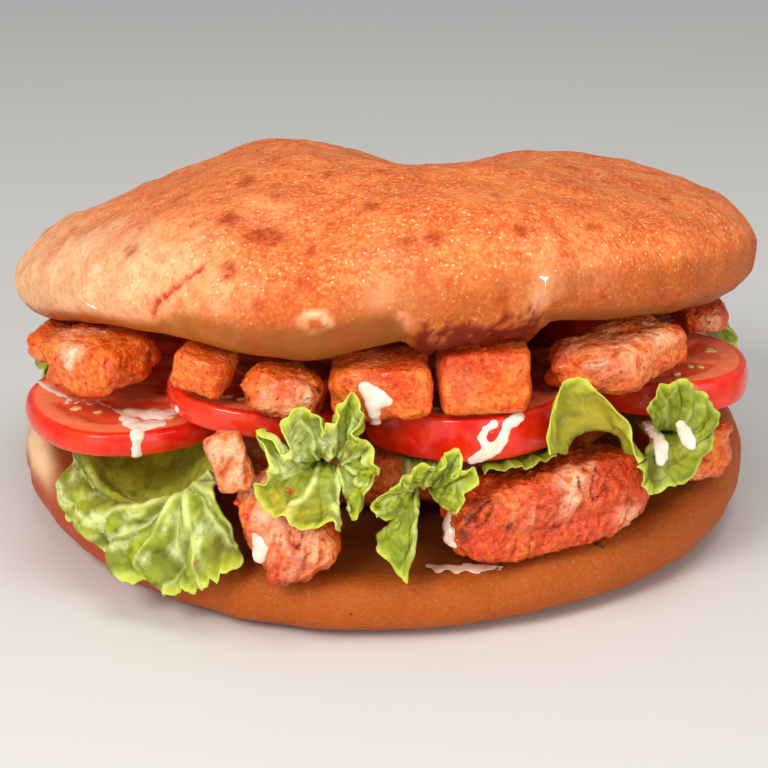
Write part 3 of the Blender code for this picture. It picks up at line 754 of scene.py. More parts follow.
def build_chicken(finish):
    meshes = {}
    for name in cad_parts:
        if name in HEAPS:
            meshes[name] = fine_copy(name, HEAP_VOXEL, HEAP_SMOOTHING)
        elif name.startswith("chicken_"):
            meshes[name] = fine_copy(name, CHICKEN_VOXEL, CHICKEN_SMOOTHING)
    front = tree_of(*(mesh for name, mesh in meshes.items() if name not in HEAPS))

    def places(table):
        found = [(seen_at(front, across, down), radius, share) for across, down, radius, share in table]
        return [(seen[0], radius, share) for seen, radius, share in found if seen]

    pale_places, deep_places = places(PALE_MEAT), places(DARK_AND_SHADED_MEAT)
    made = []
    for seed, (name, mesh) in enumerate(sorted(meshes.items())):
        points, normals = points_of(mesh), normals_of(mesh)
        *look, redness = MEAT_LOOKS.get(name, USUAL_MEAT)
        coarse = 1.8 if name in HEAPS else 1.0
        height, deep, strand = torn(points, FIBRES.get(name, UPRIGHT), seed * 5, coarse, look)
        pale = np.zeros(len(points))
        for place, radius, share in pale_places:
            pale = np.maximum(pale, share * patches(points, [(place, radius)], 1.2, seed))
        tears = smooth(noise(points, 9.0, seed + 70), 0.15, 0.55) * (0.3 if name in HEAPS else 0.6)
        tears *= 1 - min(abs(redness) * 1.6, 1.0)
        behind = smooth(points[:, 1], -70.0, -55.0)
        pale = np.clip(np.maximum(pale, tears * (0.35 + 0.65 * behind)), 0, 1)
        for place, radius, share in deep_places:
            deep = np.maximum(deep, share * patches(points, [(place, radius)], 0.8, seed))
        if name in HEAPS:
            # The gaps between the heap's lumps are sunk and painted dark: painted shade
            gap, draw = spots(points, 15.0, seed + 80)
            valley = smooth(gap, 0.45, 0.8)
            height -= 1.6 * valley
            deep = np.maximum(deep, 0.8 * valley)
            pale *= 1 - valley
        tint = smooth(noise(points, 12.0, seed + 90) + redness, -0.3, 0.6)
        move_points(mesh, points + normals * height[:, None])
        # Faces turned downward are painted darker: painted shade
        underside_shade = falls(normals[:, 2], -0.9, -0.3) * 0.45
        paint(mesh, pale=pale * (1 - deep), deep=np.maximum(deep, underside_shade), tint=tint, strand=strand)
        piece_name = name.replace("chicken_", "meat_")
        made.append(add_piece(piece_name, mesh, finish, [name]))
    return made


# The tomato, from the same slices as the solids

TOMATO_SLICES = {
    # name: (centre, radius, thickness, turn in degrees about X and Y, seed)
    "tomato_left": ((-61.2, -53.5, 44.1), 25.5, 5.8, (4.0, 0.0), 1),
    "tomato_middle_left": ((-28.5, -63.0, 49.6), 23.0, 6.2, (0.0, 6.5), 2),
    "tomato_middle_right": ((19.8, -66.5, 47.8), 24.0, 10.6, (0.0, -1.5), 3),
    "tomato_right": ((66.0, -43.5, 49.0), 23.0, 8.0, (0.0, 0.0), 4),
    "tomato_right_side": ((64.0, 6.0, 47.4), 23.0, 7.6, (-2.0, 0.0), 5),
    "tomato_left_side": ((-60.5, 2.5, 44.6), 22.5, 7.0, (-2.0, 0.0), 6),
}
RIM_BULGE = 0.5
# The rounded edge between a slice's face and its skin: how far it runs inward and down
SKIN_EDGE = 1.2
SKIN_DROP = 0.9
WALL_WIDTH = 4.6
CHAMBERS = 5
SEEDS_PER_CHAMBER = 3
FACE_POINTS, EDGE_POINTS, RIM_POINTS, ROUND_POINTS = 25, 5, 11, 181
SEED_SIZE = (1.3, 0.85, 0.35)


def build_slice(name, finish, seed_finish):
    centre, radius, thickness, turn, seed = TOMATO_SLICES[name]
    half = thickness / 2
    face = np.linspace(0.0, 1.0, FACE_POINTS)
    corner = np.linspace(0.0, math.pi / 2, EDGE_POINTS)[1:]
    side = np.linspace(1.0, -1.0, RIM_POINTS)[1:-1]
    flat = radius - SKIN_EDGE
    profile = [(flat * share, half) for share in face]
    profile += [(flat + SKIN_EDGE * math.sin(c), half - SKIN_DROP * (1 - math.cos(c))) for c in corner]
    rim_half = half - SKIN_DROP
    rim = [(radius + RIM_BULGE * (1 - s * s), rim_half * s) for s in side]
    profile += rim + [(r, -h) for r, h in reversed(profile)]
    profile = np.array(profile)
    bearing = np.linspace(-math.pi, math.pi, ROUND_POINTS)[:-1]
    reach = np.repeat(profile[:, :1], len(bearing), axis=1)
    level = np.repeat(profile[:, 1:], len(bearing), axis=1)
    angle = np.repeat(bearing[None], len(profile), axis=0)
    uneven = 1 + 0.02 * np.cos(2 * angle + seed) + 0.012 * np.cos(5 * angle + 2 * seed)
    reach = reach * uneven
    points = np.stack([reach * np.sin(angle), -reach * np.cos(angle), level], axis=-1).reshape(-1, 3)
    on_face = smooth(-np.abs(reach.ravel() / uneven.ravel()), -(flat + 0.1), -(flat - 0.5))
    chamber_at = (angle.ravel() + 0.25 * noise(points, 9.0, seed)) * CHAMBERS / (2 * math.pi)
    from_wall = beside_whole(chamber_at) * reach.ravel() * math.pi / CHAMBERS
    depth_in = np.minimum(flat - reach.ravel() - WALL_WIDTH, np.minimum(from_wall - 1.5, reach.ravel() - 6.0))
    depth_in += 0.8 * noise(points, 4.0, seed + 3)
    gel = smooth(depth_in, 0.0, 1.6) * on_face
    wall = (1 - gel) * on_face
    sunk = 0.55 * smooth(depth_in, 0.0, 1.2) * on_face
    level_change = -sunk + on_face * (0.16 * rough(points, 3.0, 2, seed + 5))
    points[:, 2] += np.sign(level.ravel()) * level_change
    outward = np.stack([np.sin(angle.ravel()), -np.cos(angle.ravel()), np.zeros(angle.size)], axis=1)
    skin = 1 - on_face
    points += outward * (skin * 0.18 * noise(points, 8.0, seed + 8))[:, None]
    turned = np.array(Euler((math.radians(turn[0]), math.radians(turn[1]), 0)).to_matrix())
    world = points @ turned.T + np.array(centre)
    mesh = mesh_from(name, world, grid_faces(len(profile), len(bearing), True))
    paint(mesh, skin=smooth(skin, 0.3, 0.9), gel=gel, wall=wall)
    draws = np.random.default_rng(seed)
    seeds = []
    for chamber in range(CHAMBERS):
        for _ in range(SEEDS_PER_CHAMBER):
            at = (chamber + 0.5 + draws.uniform(-0.28, 0.28)) / CHAMBERS * 2 * math.pi
            far = radius * draws.uniform(0.45, 0.72)
            tip = draws.uniform(0, math.pi)
            spot = np.array([far * math.sin(at), -far * math.cos(at), half - 0.45])
            seeds.append((turned @ spot + np.array(centre), SEED_SIZE, at + 0.4 * tip))
    add_piece(name.replace("tomato_", "seeds_"), ellipsoids("seeds", seeds), seed_finish)
    return add_piece(name.replace("tomato_", "slice_"), mesh, finish, [name])


def ellipsoids(name, places, around=10, rings=6):
    """Many small rounded bits in one mesh, each (centre, half sizes, turn about Z)."""
    shape = bmesh.new()
    bmesh.ops.create_uvsphere(shape, u_segments=around, v_segments=rings, radius=1.0)
    ball = np.array([v.co for v in shape.verts])
    faces = [[v.index for v in f.verts] for f in shape.faces]
    shape.free()
    points, all_faces = [], []
    for k, (centre, half, turn) in enumerate(places):
        c, s = math.cos(turn), math.sin(turn)
        turned = (ball * np.array(half)) @ np.array([[c, s, 0], [-s, c, 0], [0, 0, 1]])
        all_faces.extend([[v + k * len(ball) for v in face] for face in faces])
        points.append(turned + np.array(centre))
    mesh = bpy.data.meshes.new(name)
    mesh.from_pydata((np.concatenate(points) * MM).tolist(), [], all_faces)
    return mesh


# The lettuce, from the same rows and margins as the solids

DRAPED_LEAVES = {
    # name: (ruffle height, waves, rows of points from the root to the margin)
    "lettuce_left": (1.9, 4.5, (
        ((-68, -40, 39.0), (-62, -42, 39.0), (-56, -44, 39.0), (-50, -46, 39.0), (-44, -48, 39.0)),
        ((-72, -51, 37.5), (-66, -58, 27.0), (-59, -64, 24.0), (-50, -71, 26.5), (-40, -77, 36.0)),
        ((-75, -60, 37.0), (-69, -67, 28.0), (-60, -76, 27.0), (-51, -83, 30.0), (-39.5, -88, 38.5)),
        ((-77, -63, 27.0), (-70, -72, 20.5), (-61, -80, 20.0), (-49, -88, 20.0), (-36, -93.5, 29.0)),
        ((-73, -68, 19.0), (-66, -76, 14.5), (-57, -84, 10.5), (-46, -91, 9.5), (-33, -96, 19.0)),
    )),
    "lettuce_arch": (0.6, 3.0, (
        ((45, -46, 41.4), (47, -46, 41.4), (50, -46, 41.4), (53, -46, 41.4), (56, -46, 41.4)),
        ((43, -70, 42.0), (45, -70, 44.2), (49, -70, 45.8), (54, -70, 44.8), (58, -69, 42.2)),
        ((42, -84, 42.6), (44, -84, 47.0), (49, -84, 48.6), (54, -83, 46.8), (56, -82, 42.4)),
        ((40, -89, 44.6), (40, -88, 53.0), (47, -87, 55.5), (54, -86, 49.0), (58, -86, 42.6)),
        ((38, -93, 45.5), (39, -91, 60.0), (46, -90, 62.5), (55, -89, 51.0), (58, -90, 42.0)),
    )),
    "lettuce_under_tomato": (0.5, 3.0, (
        ((21, -42, 41.2), (27, -42, 41.2), (33, -42, 41.2), (39, -43, 41.2)),
        ((21, -70, 41.3), (28, -70, 41.3), (34, -70, 41.3), (40, -68, 41.3)),
        ((23, -94, 40.8), (29, -92, 41.4), (34, -90, 40.9), (40, -84, 41.8)),
    )),
    "lettuce_right_side": (1.4, 5.0, (
        ((52, -12, 41.4), (54, -2, 41.4), (55, 8, 41.4), (54, 18, 41.4), (50, 28, 41.4)),
        ((80, -18, 42.2), (84, -6, 41.8), (85, 6, 41.8), (84, 20, 42.0), (78, 34, 42.4)),
        ((87, -20, 38.0), (91, -8, 42.0), (92, 6, 38.0), (91, 22, 43.0), (85, 36, 39.0)),
        ((88, -20, 32.0), (92, -8, 44.0), (93, 5, 31.0), (92, 23, 45.0), (86, 38, 33.0)),
    )),
    "lettuce_left_side": (1.4, 5.0, (
        ((-50, 30, 39.0), (-52, 22, 39.0), (-53, 12, 39.0), (-52, 2, 39.0), (-50, -6, 39.0)),
        ((-76, 31, 39.4), (-82, 23, 39.6), (-84, 11, 39.6), (-83, 0, 39.6), (-80, -12, 39.6)),
        ((-83, 34, 37.0), (-88, 25, 40.0), (-90, 12, 35.0), (-90, 0, 40.0), (-86, -13, 36.0)),
        ((-85, 35, 33.0), (-89, 26, 42.0), (-92, 13, 29.0), (-91, 0, 42.0), (-87, -15, 32.0)),
    )),
}
FANNED_LEAVES = {
    # name: (the two ends of the root, the throat, points round the margin)
    "lettuce_middle": (
        ((-21, -52, 39.2), (-9, -52, 39.2)),
        (-12.0, -93.0, 43.5),
        (
            (-9, -101, 29.5), (-14, -104, 32.5), (-21, -105, 33.0), (-26, -103, 35.0), (-29, -101, 40.5),
            (-26, -104, 46.0), (-29, -99, 54.5), (-23, -104, 50.0), (-22, -99, 57.5), (-17, -99, 59.5),
            (-14, -103, 55.0), (-11, -101, 57.0), (-8, -98, 62.5), (-5, -98, 59.0), (-6, -103, 53.0),
            (-3, -99, 50.5), (-1, -102, 46.0), (-2, -98, 41.5), (-4, -98, 36.5), (-7, -100, 31.5),
        ),
    ),
    "lettuce_low": (
        ((2, -52, 41.2), (14, -52, 41.2)),
        (8.0, -95.0, 38.5),
        (
            (7, -99, 23.0), (4, -102, 17.5), (-2, -101, 25.0), (2, -98, 30.5), (-1, -103, 34.0),
            (-3, -101, 37.0), (2, -99, 40.0), (5, -101, 43.0), (10, -100, 45.5), (13, -103, 46.5),
            (17, -99, 49.5), (16, -102, 44.0), (20, -100, 44.5), (18, -103, 39.5), (16, -101, 32.5),
        ),
    ),
    "lettuce_right": (
        ((58, -48, 41.4), (70, -48, 41.4)),
        (66.0, -73.0, 43.0),
        (
            (58, -87, 40.0), (60, -86, 33.5), (66, -82, 32.0), (73, -76, 34.5), (78, -71, 41.0),
            (79, -68, 48.0), (74, -70, 54.0), (69, -73, 57.5), (64, -75, 56.0), (61, -77, 51.0),
        ),
    ),
}
LEAF_THICKNESS = 0.6
# A fan: how far its throat reaches sideways and up, and how far its middle stands out
THROAT_WIDTH = 0.34
THROAT_HEIGHT = 0.12
MIDDLE_SHARE = 0.5
MIDDLE_BULGE = 1.5
FAN_FRILL = 0.7
# The share of a ruffle that stands out from the leaf to one side only
OUTWARD_SHARE = 0.8
BRANCH_STEP = 3.6
BRANCH_WIDTH = 0.32
# name: (ribs, paleness along the middle, shade, height of the crinkles, height of the fringe)
LEAF_LOOKS = {
    "lettuce_left": (7, 0.1, 0.1, 0.45, 1.3),
    "lettuce_arch": (3, 0.0, 0.25, 0.2, 0.6),
    "lettuce_under_tomato": (3, 0.0, 0.95, 0.2, 0.35),
    "lettuce_right_side": (6, 0.1, 0.25, 0.5, 1.1),
    "lettuce_left_side": (6, 0.1, 0.25, 0.5, 1.1),
    "lettuce_middle": (9, 0.25, 0.1, 0.7, 2.0),
    "lettuce_low": (7, 0.15, 0.3, 0.6, 1.7),
    "lettuce_right": (5, 0.0, 0.5, 0.4, 1.0),
}
# The share of their ribs that smoother leaves show
SOFT_RIBS = {"lettuce_arch": 0.1, "lettuce_right": 0.35, "lettuce_under_tomato": 0.3, "lettuce_low": 0.5}
# Pale and golden places on the leaves, each with its half sizes
PALE_LEAF = (((-21, -102, 49), (6, 5, 5)), ((-13, -100, 51), (4, 5, 3)), ((-10, -100, 44), (2.5, 5, 5)))
GOLD_LEAF = (((-22, -104, 37), (8, 6, 6)), ((47, -88, 53), (12, 8, 9)))
PALE_LEAF_STRENGTH = 0.9
# Where the folds and ribs of a leaf meet, as shares along and across it, the angle between ribs, fold height
FOLDS = {"lettuce_left": (0.4, 0.86, math.radians(15), 1.5)}


def through(points, shares):
    """Points on the smooth curve (Catmull-Rom) through the first axis of an array, for shares from 0 to 1."""
    points = np.asarray(points, float)
    at = np.minimum(shares, 0.999999) * (len(points) - 1)
    step = at.astype(int)
    t = (at - step).reshape(-1, *[1] * (points.ndim - 1))
    ends = (2 * points[0] - points[1])[None], (2 * points[-1] - points[-2])[None]
    a, b, c, d = (np.concatenate([ends[0], points, ends[1]])[step + k] for k in range(4))
    return 0.5 * (2 * b + (c - a) * t + (2 * a - 5 * b + 4 * c - d) * t**2 + (3 * b - a - 3 * c + d) * t**3)


def draped(rows, along, across):
    """A leaf laid over rows of points from its root to its margin."""
    lines = through(np.asarray(rows, float).transpose(1, 0, 2), across).transpose(1, 0, 2)
    return through(lines, along)


def fanned(root, throat, margin, along, across):
    """A leaf that runs from its root through a narrow throat and opens to a wide margin."""
    start, stop, middle = np.array(root[0], float), np.array(root[1], float), np.array(throat)
    tip = through(margin, across)
    reach = tip - middle
    neck = middle + reach * np.array([THROAT_WIDTH, 0, THROAT_HEIGHT])
    open_part = neck + (tip - neck) * MIDDLE_SHARE - np.array([0, MIDDLE_BULGE, 0])
    base = start + (stop - start) * across[:, None]
    before = base + (neck - base) * 0.6
    before[:, 2] = base[:, 2] + 0.25 * (neck[:, 2] - base[:, 2])
    return through(np.stack([base, before, neck, open_part, tip]), along)


def facing_of(sheet):
    """Normals of a grid of points."""
    forward, sideways = np.gradient(sheet, axis=0), np.gradient(sheet, axis=1)
    normal = np.cross(forward, sideways)
    return normal / np.maximum(np.linalg.norm(normal, axis=-1, keepdims=True), 1e-9)


def two_sided(sheet, half):
    """Points and faces of a grid given half a thickness: its front, its back and the edge round them."""
    normal = facing_of(sheet)
    front, back = sheet + normal * half[..., None], sheet - normal * half[..., None]
    rows, columns = half.shape
    total = rows * columns
    index = np.arange(total).reshape(rows, columns)
    loop = np.concatenate([index[0, :-1], index[:-1, -1], index[-1, :0:-1], index[:0:-1, 0]])
    around = np.stack([loop, np.roll(loop, -1), np.roll(loop, -1) + total, loop + total], axis=1)
    faces = grid_faces(rows, columns)
    points = np.concatenate([front.reshape(-1, 3), back.reshape(-1, 3)])
    return points, np.concatenate([faces[:, ::-1], faces + total, around])


def build_leaf(name, seed, finish):
    fan = name in FANNED_LEAVES
    ribs, paleness, shade, crinkle, fringe_height = LEAF_LOOKS[name]
    ribbing = SOFT_RIBS.get(name, 1.0)
    along = np.linspace(0, 1, LEAF_ROWS)
    across = np.linspace(0, 1, FANNED_COLUMNS if fan else DRAPED_COLUMNS)
    if fan:
        root, throat, margin = FANNED_LEAVES[name]
        sheet = fanned(root, throat, margin, along, across)
        ruffle, waves = FAN_FRILL, len(margin)
    else:
        ruffle, waves, rows = DRAPED_LEAVES[name]
        sheet = draped(rows, along, across)
    shape = sheet.shape[:2]
    a, b = np.meshgrid(along, across, indexing="ij")
    edge = smooth(a, 0.45, 1.0)
    phase = 2 * math.pi * (waves * b + 0.35 * np.sin(9 * a + seed))
    frill = ruffle * edge * (OUTWARD_SHARE + np.sin(phase + seed) + 0.4 * np.sin(2.3 * phase + 2 * seed))
    width = np.linalg.norm(np.diff(sheet, axis=1), axis=-1).sum(axis=1).mean()
    length = np.linalg.norm(np.diff(sheet, axis=0), axis=-1).sum(axis=0).mean()
    flat = np.stack([a.ravel() * length, b.ravel() * width, np.full(a.size, seed * 11.0)], axis=1)
    wander = noise(flat, 9.0, seed).reshape(shape)
    lane = b * ribs + 0.4 * wander + 0.2 * np.sin(5 * a + seed)
    from_rib = beside_whole(lane) * width / ribs / 2
    fold, streak = np.zeros(shape), np.zeros(shape)
    if name in FOLDS:
        pivot_a, pivot_b, step, fold_height = FOLDS[name]
        out = np.hypot((a - pivot_a) * length, (b - pivot_b) * width)
        lane = np.arctan2((b - pivot_b) * width, (a - pivot_a) * length) / step + 0.35 * wander
        from_rib = beside_whole(lane) * out * step / 2
        open_part = smooth(a, pivot_a, pivot_a + 0.12) * smooth(out, 2.0, 9.0)
        fold = open_part * fold_height * (np.cos(math.pi * lane) + 0.5 * wander)
        beams = np.stack([lane.ravel() * 2.4, out.ravel() * 0.14, np.full(a.size, 3.0)], axis=1)
        streak = smooth(noise(beams, 1.0, seed + 50).reshape(shape), -0.15, 0.45) * open_part
        streak *= 1 - smooth(a, 0.8, 0.97)
    rib = np.exp(-((from_rib / (0.85 - 0.45 * a)) ** 2)) * smooth(a, 0.2, 0.35)
    rib *= 1 - 0.6 * smooth(a, 0.8, 1.0)
    herringbone = np.mod((a * length - from_rib * 0.9 + 1.2 * wander) / BRANCH_STEP, 1.0)
    branch = np.exp(-(((herringbone - 0.5) * BRANCH_STEP / BRANCH_WIDTH) ** 2))
    branch *= smooth(from_rib, 0.2, 1.0) * 0.6
    puckers = rough(flat, 3.4, 2, seed + 9).reshape(shape)
    beside = np.stack([b.ravel() * width, np.full(a.size, seed * 5.0), a.ravel() * length * 0.25], axis=1)
    wave = noise(beside, 3.2, seed + 40).reshape(shape) + 0.5 * noise(beside, 1.5, seed + 41).reshape(shape)
    fringe = smooth(a, 0.74, 1.0) * fringe_height * wave
    teeth = beside * np.array([1, 1, 0])
    notch = noise(teeth, 2.4, seed + 42) + 0.6 * noise(teeth, 1.0, seed + 43)
    notch = 2.4 * fringe_height / length * notch.reshape(shape)
    notch *= smooth(a, 0.7, 1.0)
    sheet = sheet - np.gradient(sheet, along, axis=0) * (0.02 * smooth(a, 0.7, 1.0) + notch)[..., None]
    lift = frill + crinkle * puckers * smooth(a, 0.1, 0.3) + fringe + fold
    lift -= 0.35 * rib * ribbing + 0.06 * branch
    sheet = sheet + facing_of(sheet) * lift[..., None]
    half = LEAF_THICKNESS / 2 * (1 - 0.6 * smooth(a, 0.9, 1.0)) * (1 + 0.8 * rib)
    mesh = mesh_from(name, *two_sided(sheet, half))
    rim = smooth(a, 0.93, 1.0) * 0.85 * (1 - 0.7 * shade)
    pale = paleness * smooth(0.62 - a + 0.25 * wander, 0.0, 0.5) * smooth(a, 0.15, 0.4)
    pale = np.maximum(pale, 0.7 * streak)
    dark = shade * (1 - rim) + 0.5 * falls(puckers, -0.8, -0.1) * (1 - rim) + 0.6 * falls(fold, -1.4, 0.0)
    dark += 0.5 * smooth(wander, -0.1, 0.5) * (1 - rim)
    if fan:
        dark = np.maximum(dark, 0.9 * (1 - smooth(a + 0.08 * wander, 0.3, 0.5)))
    places = sheet.reshape(-1, 3)
    pale = np.maximum(pale, PALE_LEAF_STRENGTH * patches(places, PALE_LEAF, 1.5, seed).reshape(shape))
    gold = patches(places, GOLD_LEAF, 1.5, seed).reshape(shape)
    veins = np.maximum(rib * ribbing, branch * 0.12)
    values = {"rib": veins, "rim": rim, "shade": dark, "pale": pale, "gold": gold}
    paint(mesh, **{key: np.tile(value.ravel(), 2) for key, value in values.items()})
    return add_piece(name.replace("lettuce_", "leaf_"), mesh, finish, [name])


# The sauce: runs over what a pixel of the photograph shows

SAUCE_RUNS = {
    # name: (flatness, the nodes it helps to stand for, drops as pixel across and down and radius)
    "sauce_left": (0.38, ("tomato_left",), (
        (150, 417, 2.2), (157, 412, 3.0), (166, 415, 3.4), (176, 413, 3.2), (186, 414, 3.0),
        (195, 411, 2.4), (156, 424, 2.8), (165, 426, 3.0), (175, 424, 2.6), (185, 423, 2.0),
        (161, 434, 2.0), (161, 442, 1.4), (160, 450, 1.5), (161, 456, 1.6), (202, 408, 1.3),
    )),
    # Thin pale juice streaks on the left slice; the wider film at their left end is a painted highlight
    "sauce_left_streaks": (0.28, (), (
        (60, 380, 1.2), (66, 384, 1.7), (74, 389, 1.9), (82, 393, 1.6), (90, 398, 1.1), (84, 403, 0.6),
        (96, 402, 0.7), (104, 399, 0.8), (112, 403, 0.9), (120, 399, 0.8), (128, 404, 1.0),
        (136, 408, 1.1), (144, 411, 1.2), (118, 407, 0.7), (140, 402, 0.8),
    )),
    "sauce_middle": (0.5, ("tomato_middle_right",), (
        (399, 386, 2.0), (405, 392, 2.4), (413, 397, 2.3), (421, 400, 1.5), (406, 402, 2.1),
        (408, 412, 1.7), (409, 421, 1.6), (409, 430, 1.9), (410, 439, 2.1), (407, 446, 1.9),
    )),
    "sauce_right": (0.42, ("tomato_middle_right",), (
        (560, 415, 1.5), (554, 420, 1.8), (547, 424, 1.6), (544, 433, 1.5), (541, 441, 1.8),
        (535, 448, 2.0), (527, 453, 2.2), (518, 458, 1.8), (509, 462, 1.3), (533, 424, 1.3),
        (524, 429, 1.2), (520, 438, 1.4), (524, 446, 1.4), (501, 465, 0.9),
    )),
    "sauce_leaf_right": (0.45, (), (
        (692, 424, 1.6), (697, 430, 1.9), (702, 438, 2.1), (705, 447, 2.4), (706, 456, 2.2),
        (705, 463, 1.5), (688, 416, 1.1),
    )),
    "sauce_far_right": (0.45, (), (
        (727, 424, 1.4), (731, 432, 2.0), (735, 441, 2.0), (738, 447, 1.4),
    )),
    "sauce_low_leaf": (0.4, (), (
        (484, 512, 1.2), (487, 520, 1.6), (484, 529, 1.9), (488, 537, 1.7), (485, 545, 1.6),
        (492, 550, 1.0),
    )),
    "sauce_between": (0.3, (), (
        (284, 540, 1.2), (288, 547, 1.8), (285, 555, 1.6), (290, 562, 1.9), (287, 570, 1.2),
        (294, 552, 1.3),
    )),
    "sauce_crust_fleck": (0.4, (), (
        (582, 270, 0.7), (586, 272, 0.9), (590, 270, 0.6), (586, 279, 0.5), (587, 287, 0.45),
        (588, 294, 0.35),
    )),
    # White drops on the crust's front edge: a painted highlight
    "sauce_crust_drop": (0.5, (), (
        (106, 297, 0.5), (110, 299, 0.7), (115, 302, 0.7), (119, 304, 0.45),
    )),
    "sauce_bread": (0.14, (), (
        (466, 572, 1.6), (474, 575, 2.0), (484, 573, 2.2), (494, 575, 2.4), (505, 573, 2.2),
        (516, 575, 2.2), (527, 572, 1.8), (537, 573, 1.4),
    )),
}
# A drop is left out where its pixel shows something this much nearer or further than the rest of its run
DEPTH_STEP = 13.0
# Drops of a run that are nearer than this have another drop between them, a little thinner
DROP_GAP = 5.0
DROP_THINNING = 0.92
# Sauce that the spice has stained all over
STAINED = {"sauce_bread": 0.9, "sauce_between": 0.3, "sauce_left_streaks": 0.5}


def build_sauce(name, tree, finish):
    flatness, nodes, drops = SAUCE_RUNS[name]
    eye = Vector(VIEW_PLACE)
    hits = [(*seen, radius) for across, down, radius in drops if (seen := seen_at(tree, across, down))]
    usual = float(np.median([(place - eye).length for place, _, _ in hits]))
    hits = [hit for hit in hits if abs((hit[0] - eye).length - usual) < DEPTH_STEP]
    shape = bmesh.new()
    last = None
    for place, normal, radius in hits:
        turned = normal.to_track_quat("Z", "Y").to_matrix()
        stops = [(place, radius)]
        if last and (place - last[0]).length < DROP_GAP:
            stops.append(((place + last[0]) / 2, (radius + last[1]) / 2 * DROP_THINNING))
        last = (place, radius)
        for spot, size in stops:
            ball = bmesh.ops.create_icosphere(shape, subdivisions=2, radius=size)
            for vert in ball["verts"]:
                flat = Vector((vert.co.x, vert.co.y, vert.co.z * flatness))
                vert.co = turned @ flat + spot + normal * size * 0.1
    bmesh.ops.scale(shape, vec=(MM, MM, MM), verts=shape.verts)
    mesh = bpy.data.meshes.new(name)
    shape.to_mesh(mesh)
    shape.free()
    mesh = remeshed(mesh, SAUCE_VOXEL, SAUCE_SMOOTHING)
    points, normals = points_of(mesh), normals_of(mesh)
    stain = smooth(noise(points, 4.0, len(name)), -0.1, 0.7) * 0.8
    stain = np.maximum(stain, STAINED.get(name, 0.0))
    move_points(mesh, points + normals * (0.15 * noise(points, 2.0, 3))[:, None])
    paint(mesh, stain=stain)
    return add_piece(name, mesh, finish, nodes)


# Small bits

RED_BITS = (
    # pixel across and down, half size in millimetres
    (318, 492, 0.9), (323, 495, 0.6), (222, 568, 0.6), (266, 505, 1.2), (274, 519, 1.0), (530, 432, 0.8),
    (300, 604, 0.6), (470, 570, 0.5), (556, 566, 0.5),
)
PEPPER_BITS = (
    (640, 549, 0.9), (548, 531, 0.6), (348, 387, 0.6), (645, 552, 0.5), (600, 560, 0.3), (384, 621, 0.35),
)
SPICE_COUNT = 260


def build_bits(tree, meat):
    draws = np.random.default_rng(12)

    def flattened(half):
        return (half, half * 0.8, half * 0.6), draws.uniform(0, 6)

    kinds = {"bits_red": (RED_BITS, RED_BIT_COLOURS), "bits_pepper": (PEPPER_BITS, PEPPER_COLOURS)}
    for name, (rows, colours) in kinds.items():
        places = []
        for across, down, half in rows:
            seen = seen_at(tree, across, down)
            if seen:
                places.append((np.array(seen[0]), *flattened(half)))
        add_piece(name, ellipsoids(name, places), plain_finish(name + "_finish", *colours, 0.8, 0.35, 0.4))
    total = sum(len(piece.data.vertices) for piece in meat)
    for name, colours in SPICE_COLOURS.items():
        places = []
        for piece in meat:
            points = points_of(piece.data)
            for index in draws.integers(0, len(points), round(SPICE_COUNT * (len(points) / total))):
                places.append((points[index], *flattened(draws.uniform(0.22, 0.5))))
        mesh = ellipsoids(name, places, 6, 4)
        add_piece(name, mesh, plain_finish(name + "_finish", *colours, 0.8, 0.4, 0.3))


# The stage

FLOOR_HALF = 4000
# name: (place and width in metres, power in watts, colour)
LIGHTS = {
    "key": ((-0.45, -0.8, 0.72), 0.4, 7.8, (1.0, 0.96, 0.91)),
    "front_fill": ((0.65, -1.2, 0.3), 0.9, 6.0, (1, 1, 1)),
    "left_fill": ((-0.6, -1.1, 0.28), 0.6, 1.3, (1.0, 0.97, 0.93)),
    "right_fill": ((0.95, -0.75, 0.25), 0.6, 2.0, (1.0, 0.97, 0.93)),
    "top": ((0.15, -0.45, 1.15), 0.6, 4.0, (1, 1, 1)),
}
LIGHT_TARGET = (0, 0, 0.04)
SKY_COLOUR = (0.9, 0.92, 0.95, 1)
SKY_STRENGTH = 0.36


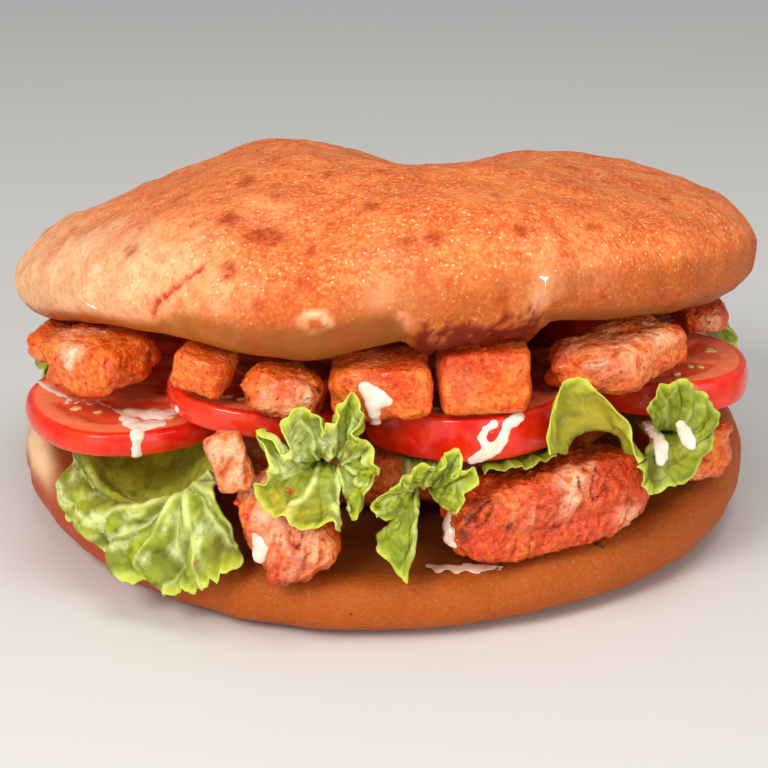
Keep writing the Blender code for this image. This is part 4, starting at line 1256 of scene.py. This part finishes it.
def build_stage():
    far = FLOOR_HALF
    corners = [(-far, -far, 0), (far, -far, 0), (far, far, 0), (-far, far, 0)]
    floor = mesh_from("floor", corners, [(0, 1, 2, 3)])
    pale = Finish("pale_floor", Roughness=0.8)
    pale.shader.inputs["Base Color"].default_value = screen(FLOOR_COLOUR)
    piece = bpy.data.objects.new("floor", floor)
    floor.materials.append(pale.material)
    bpy.context.scene.collection.objects.link(piece)


def point_at(thing, place, target):
    """Puts a light or camera at a place, in metres, turned to a target."""
    thing.location = place
    thing.rotation_euler = (Vector(target) - Vector(place)).to_track_quat("-Z", "Y").to_euler()
    bpy.context.scene.collection.objects.link(thing)


def build_lights():
    for name, (place, width, power, colour) in LIGHTS.items():
        lamp = bpy.data.lights.new(name, "AREA")
        lamp.size = width
        lamp.energy = power
        lamp.color = colour
        point_at(bpy.data.objects.new(name, lamp), place, LIGHT_TARGET)
    world = bpy.data.worlds.new("studio")
    world.use_nodes = True
    sky = world.node_tree.nodes["Background"]
    sky.inputs["Color"].default_value = SKY_COLOUR
    sky.inputs["Strength"].default_value = SKY_STRENGTH
    bpy.context.scene.world = world
    bpy.context.scene.view_settings.view_transform = "Standard"


def build_camera():
    data = bpy.data.cameras.new("photo_view")
    data.lens = CAMERA_LENS
    data.sensor_width = 36.0
    camera = bpy.data.objects.new("photo_view", data)
    point_at(camera, Vector(VIEW_PLACE) * MM, Vector(CAMERA_TARGET) * MM)
    bpy.context.scene.camera = camera


def main():
    meat = build_chicken(chicken_finish())
    pieces = [build_bread(bread_finish()), *meat]
    tomato = tomato_finish()
    seed_finish = plain_finish("tomato_seeds", *SEED_COLOURS, 1.0, 0.25, 0.6)
    pieces += [build_slice(name, tomato, seed_finish) for name in TOMATO_SLICES]
    leaf = leaf_finish()
    for leaves in (DRAPED_LEAVES, FANNED_LEAVES):
        pieces += [build_leaf(name, seed, leaf) for seed, name in enumerate(leaves)]
    tree = tree_of(*(piece.data for piece in pieces))
    sauce = sauce_finish()
    for name in SAUCE_RUNS:
        build_sauce(name, tree, sauce)
    build_bits(tree, meat)
    build_stage()
    build_lights()
    build_camera()


main()
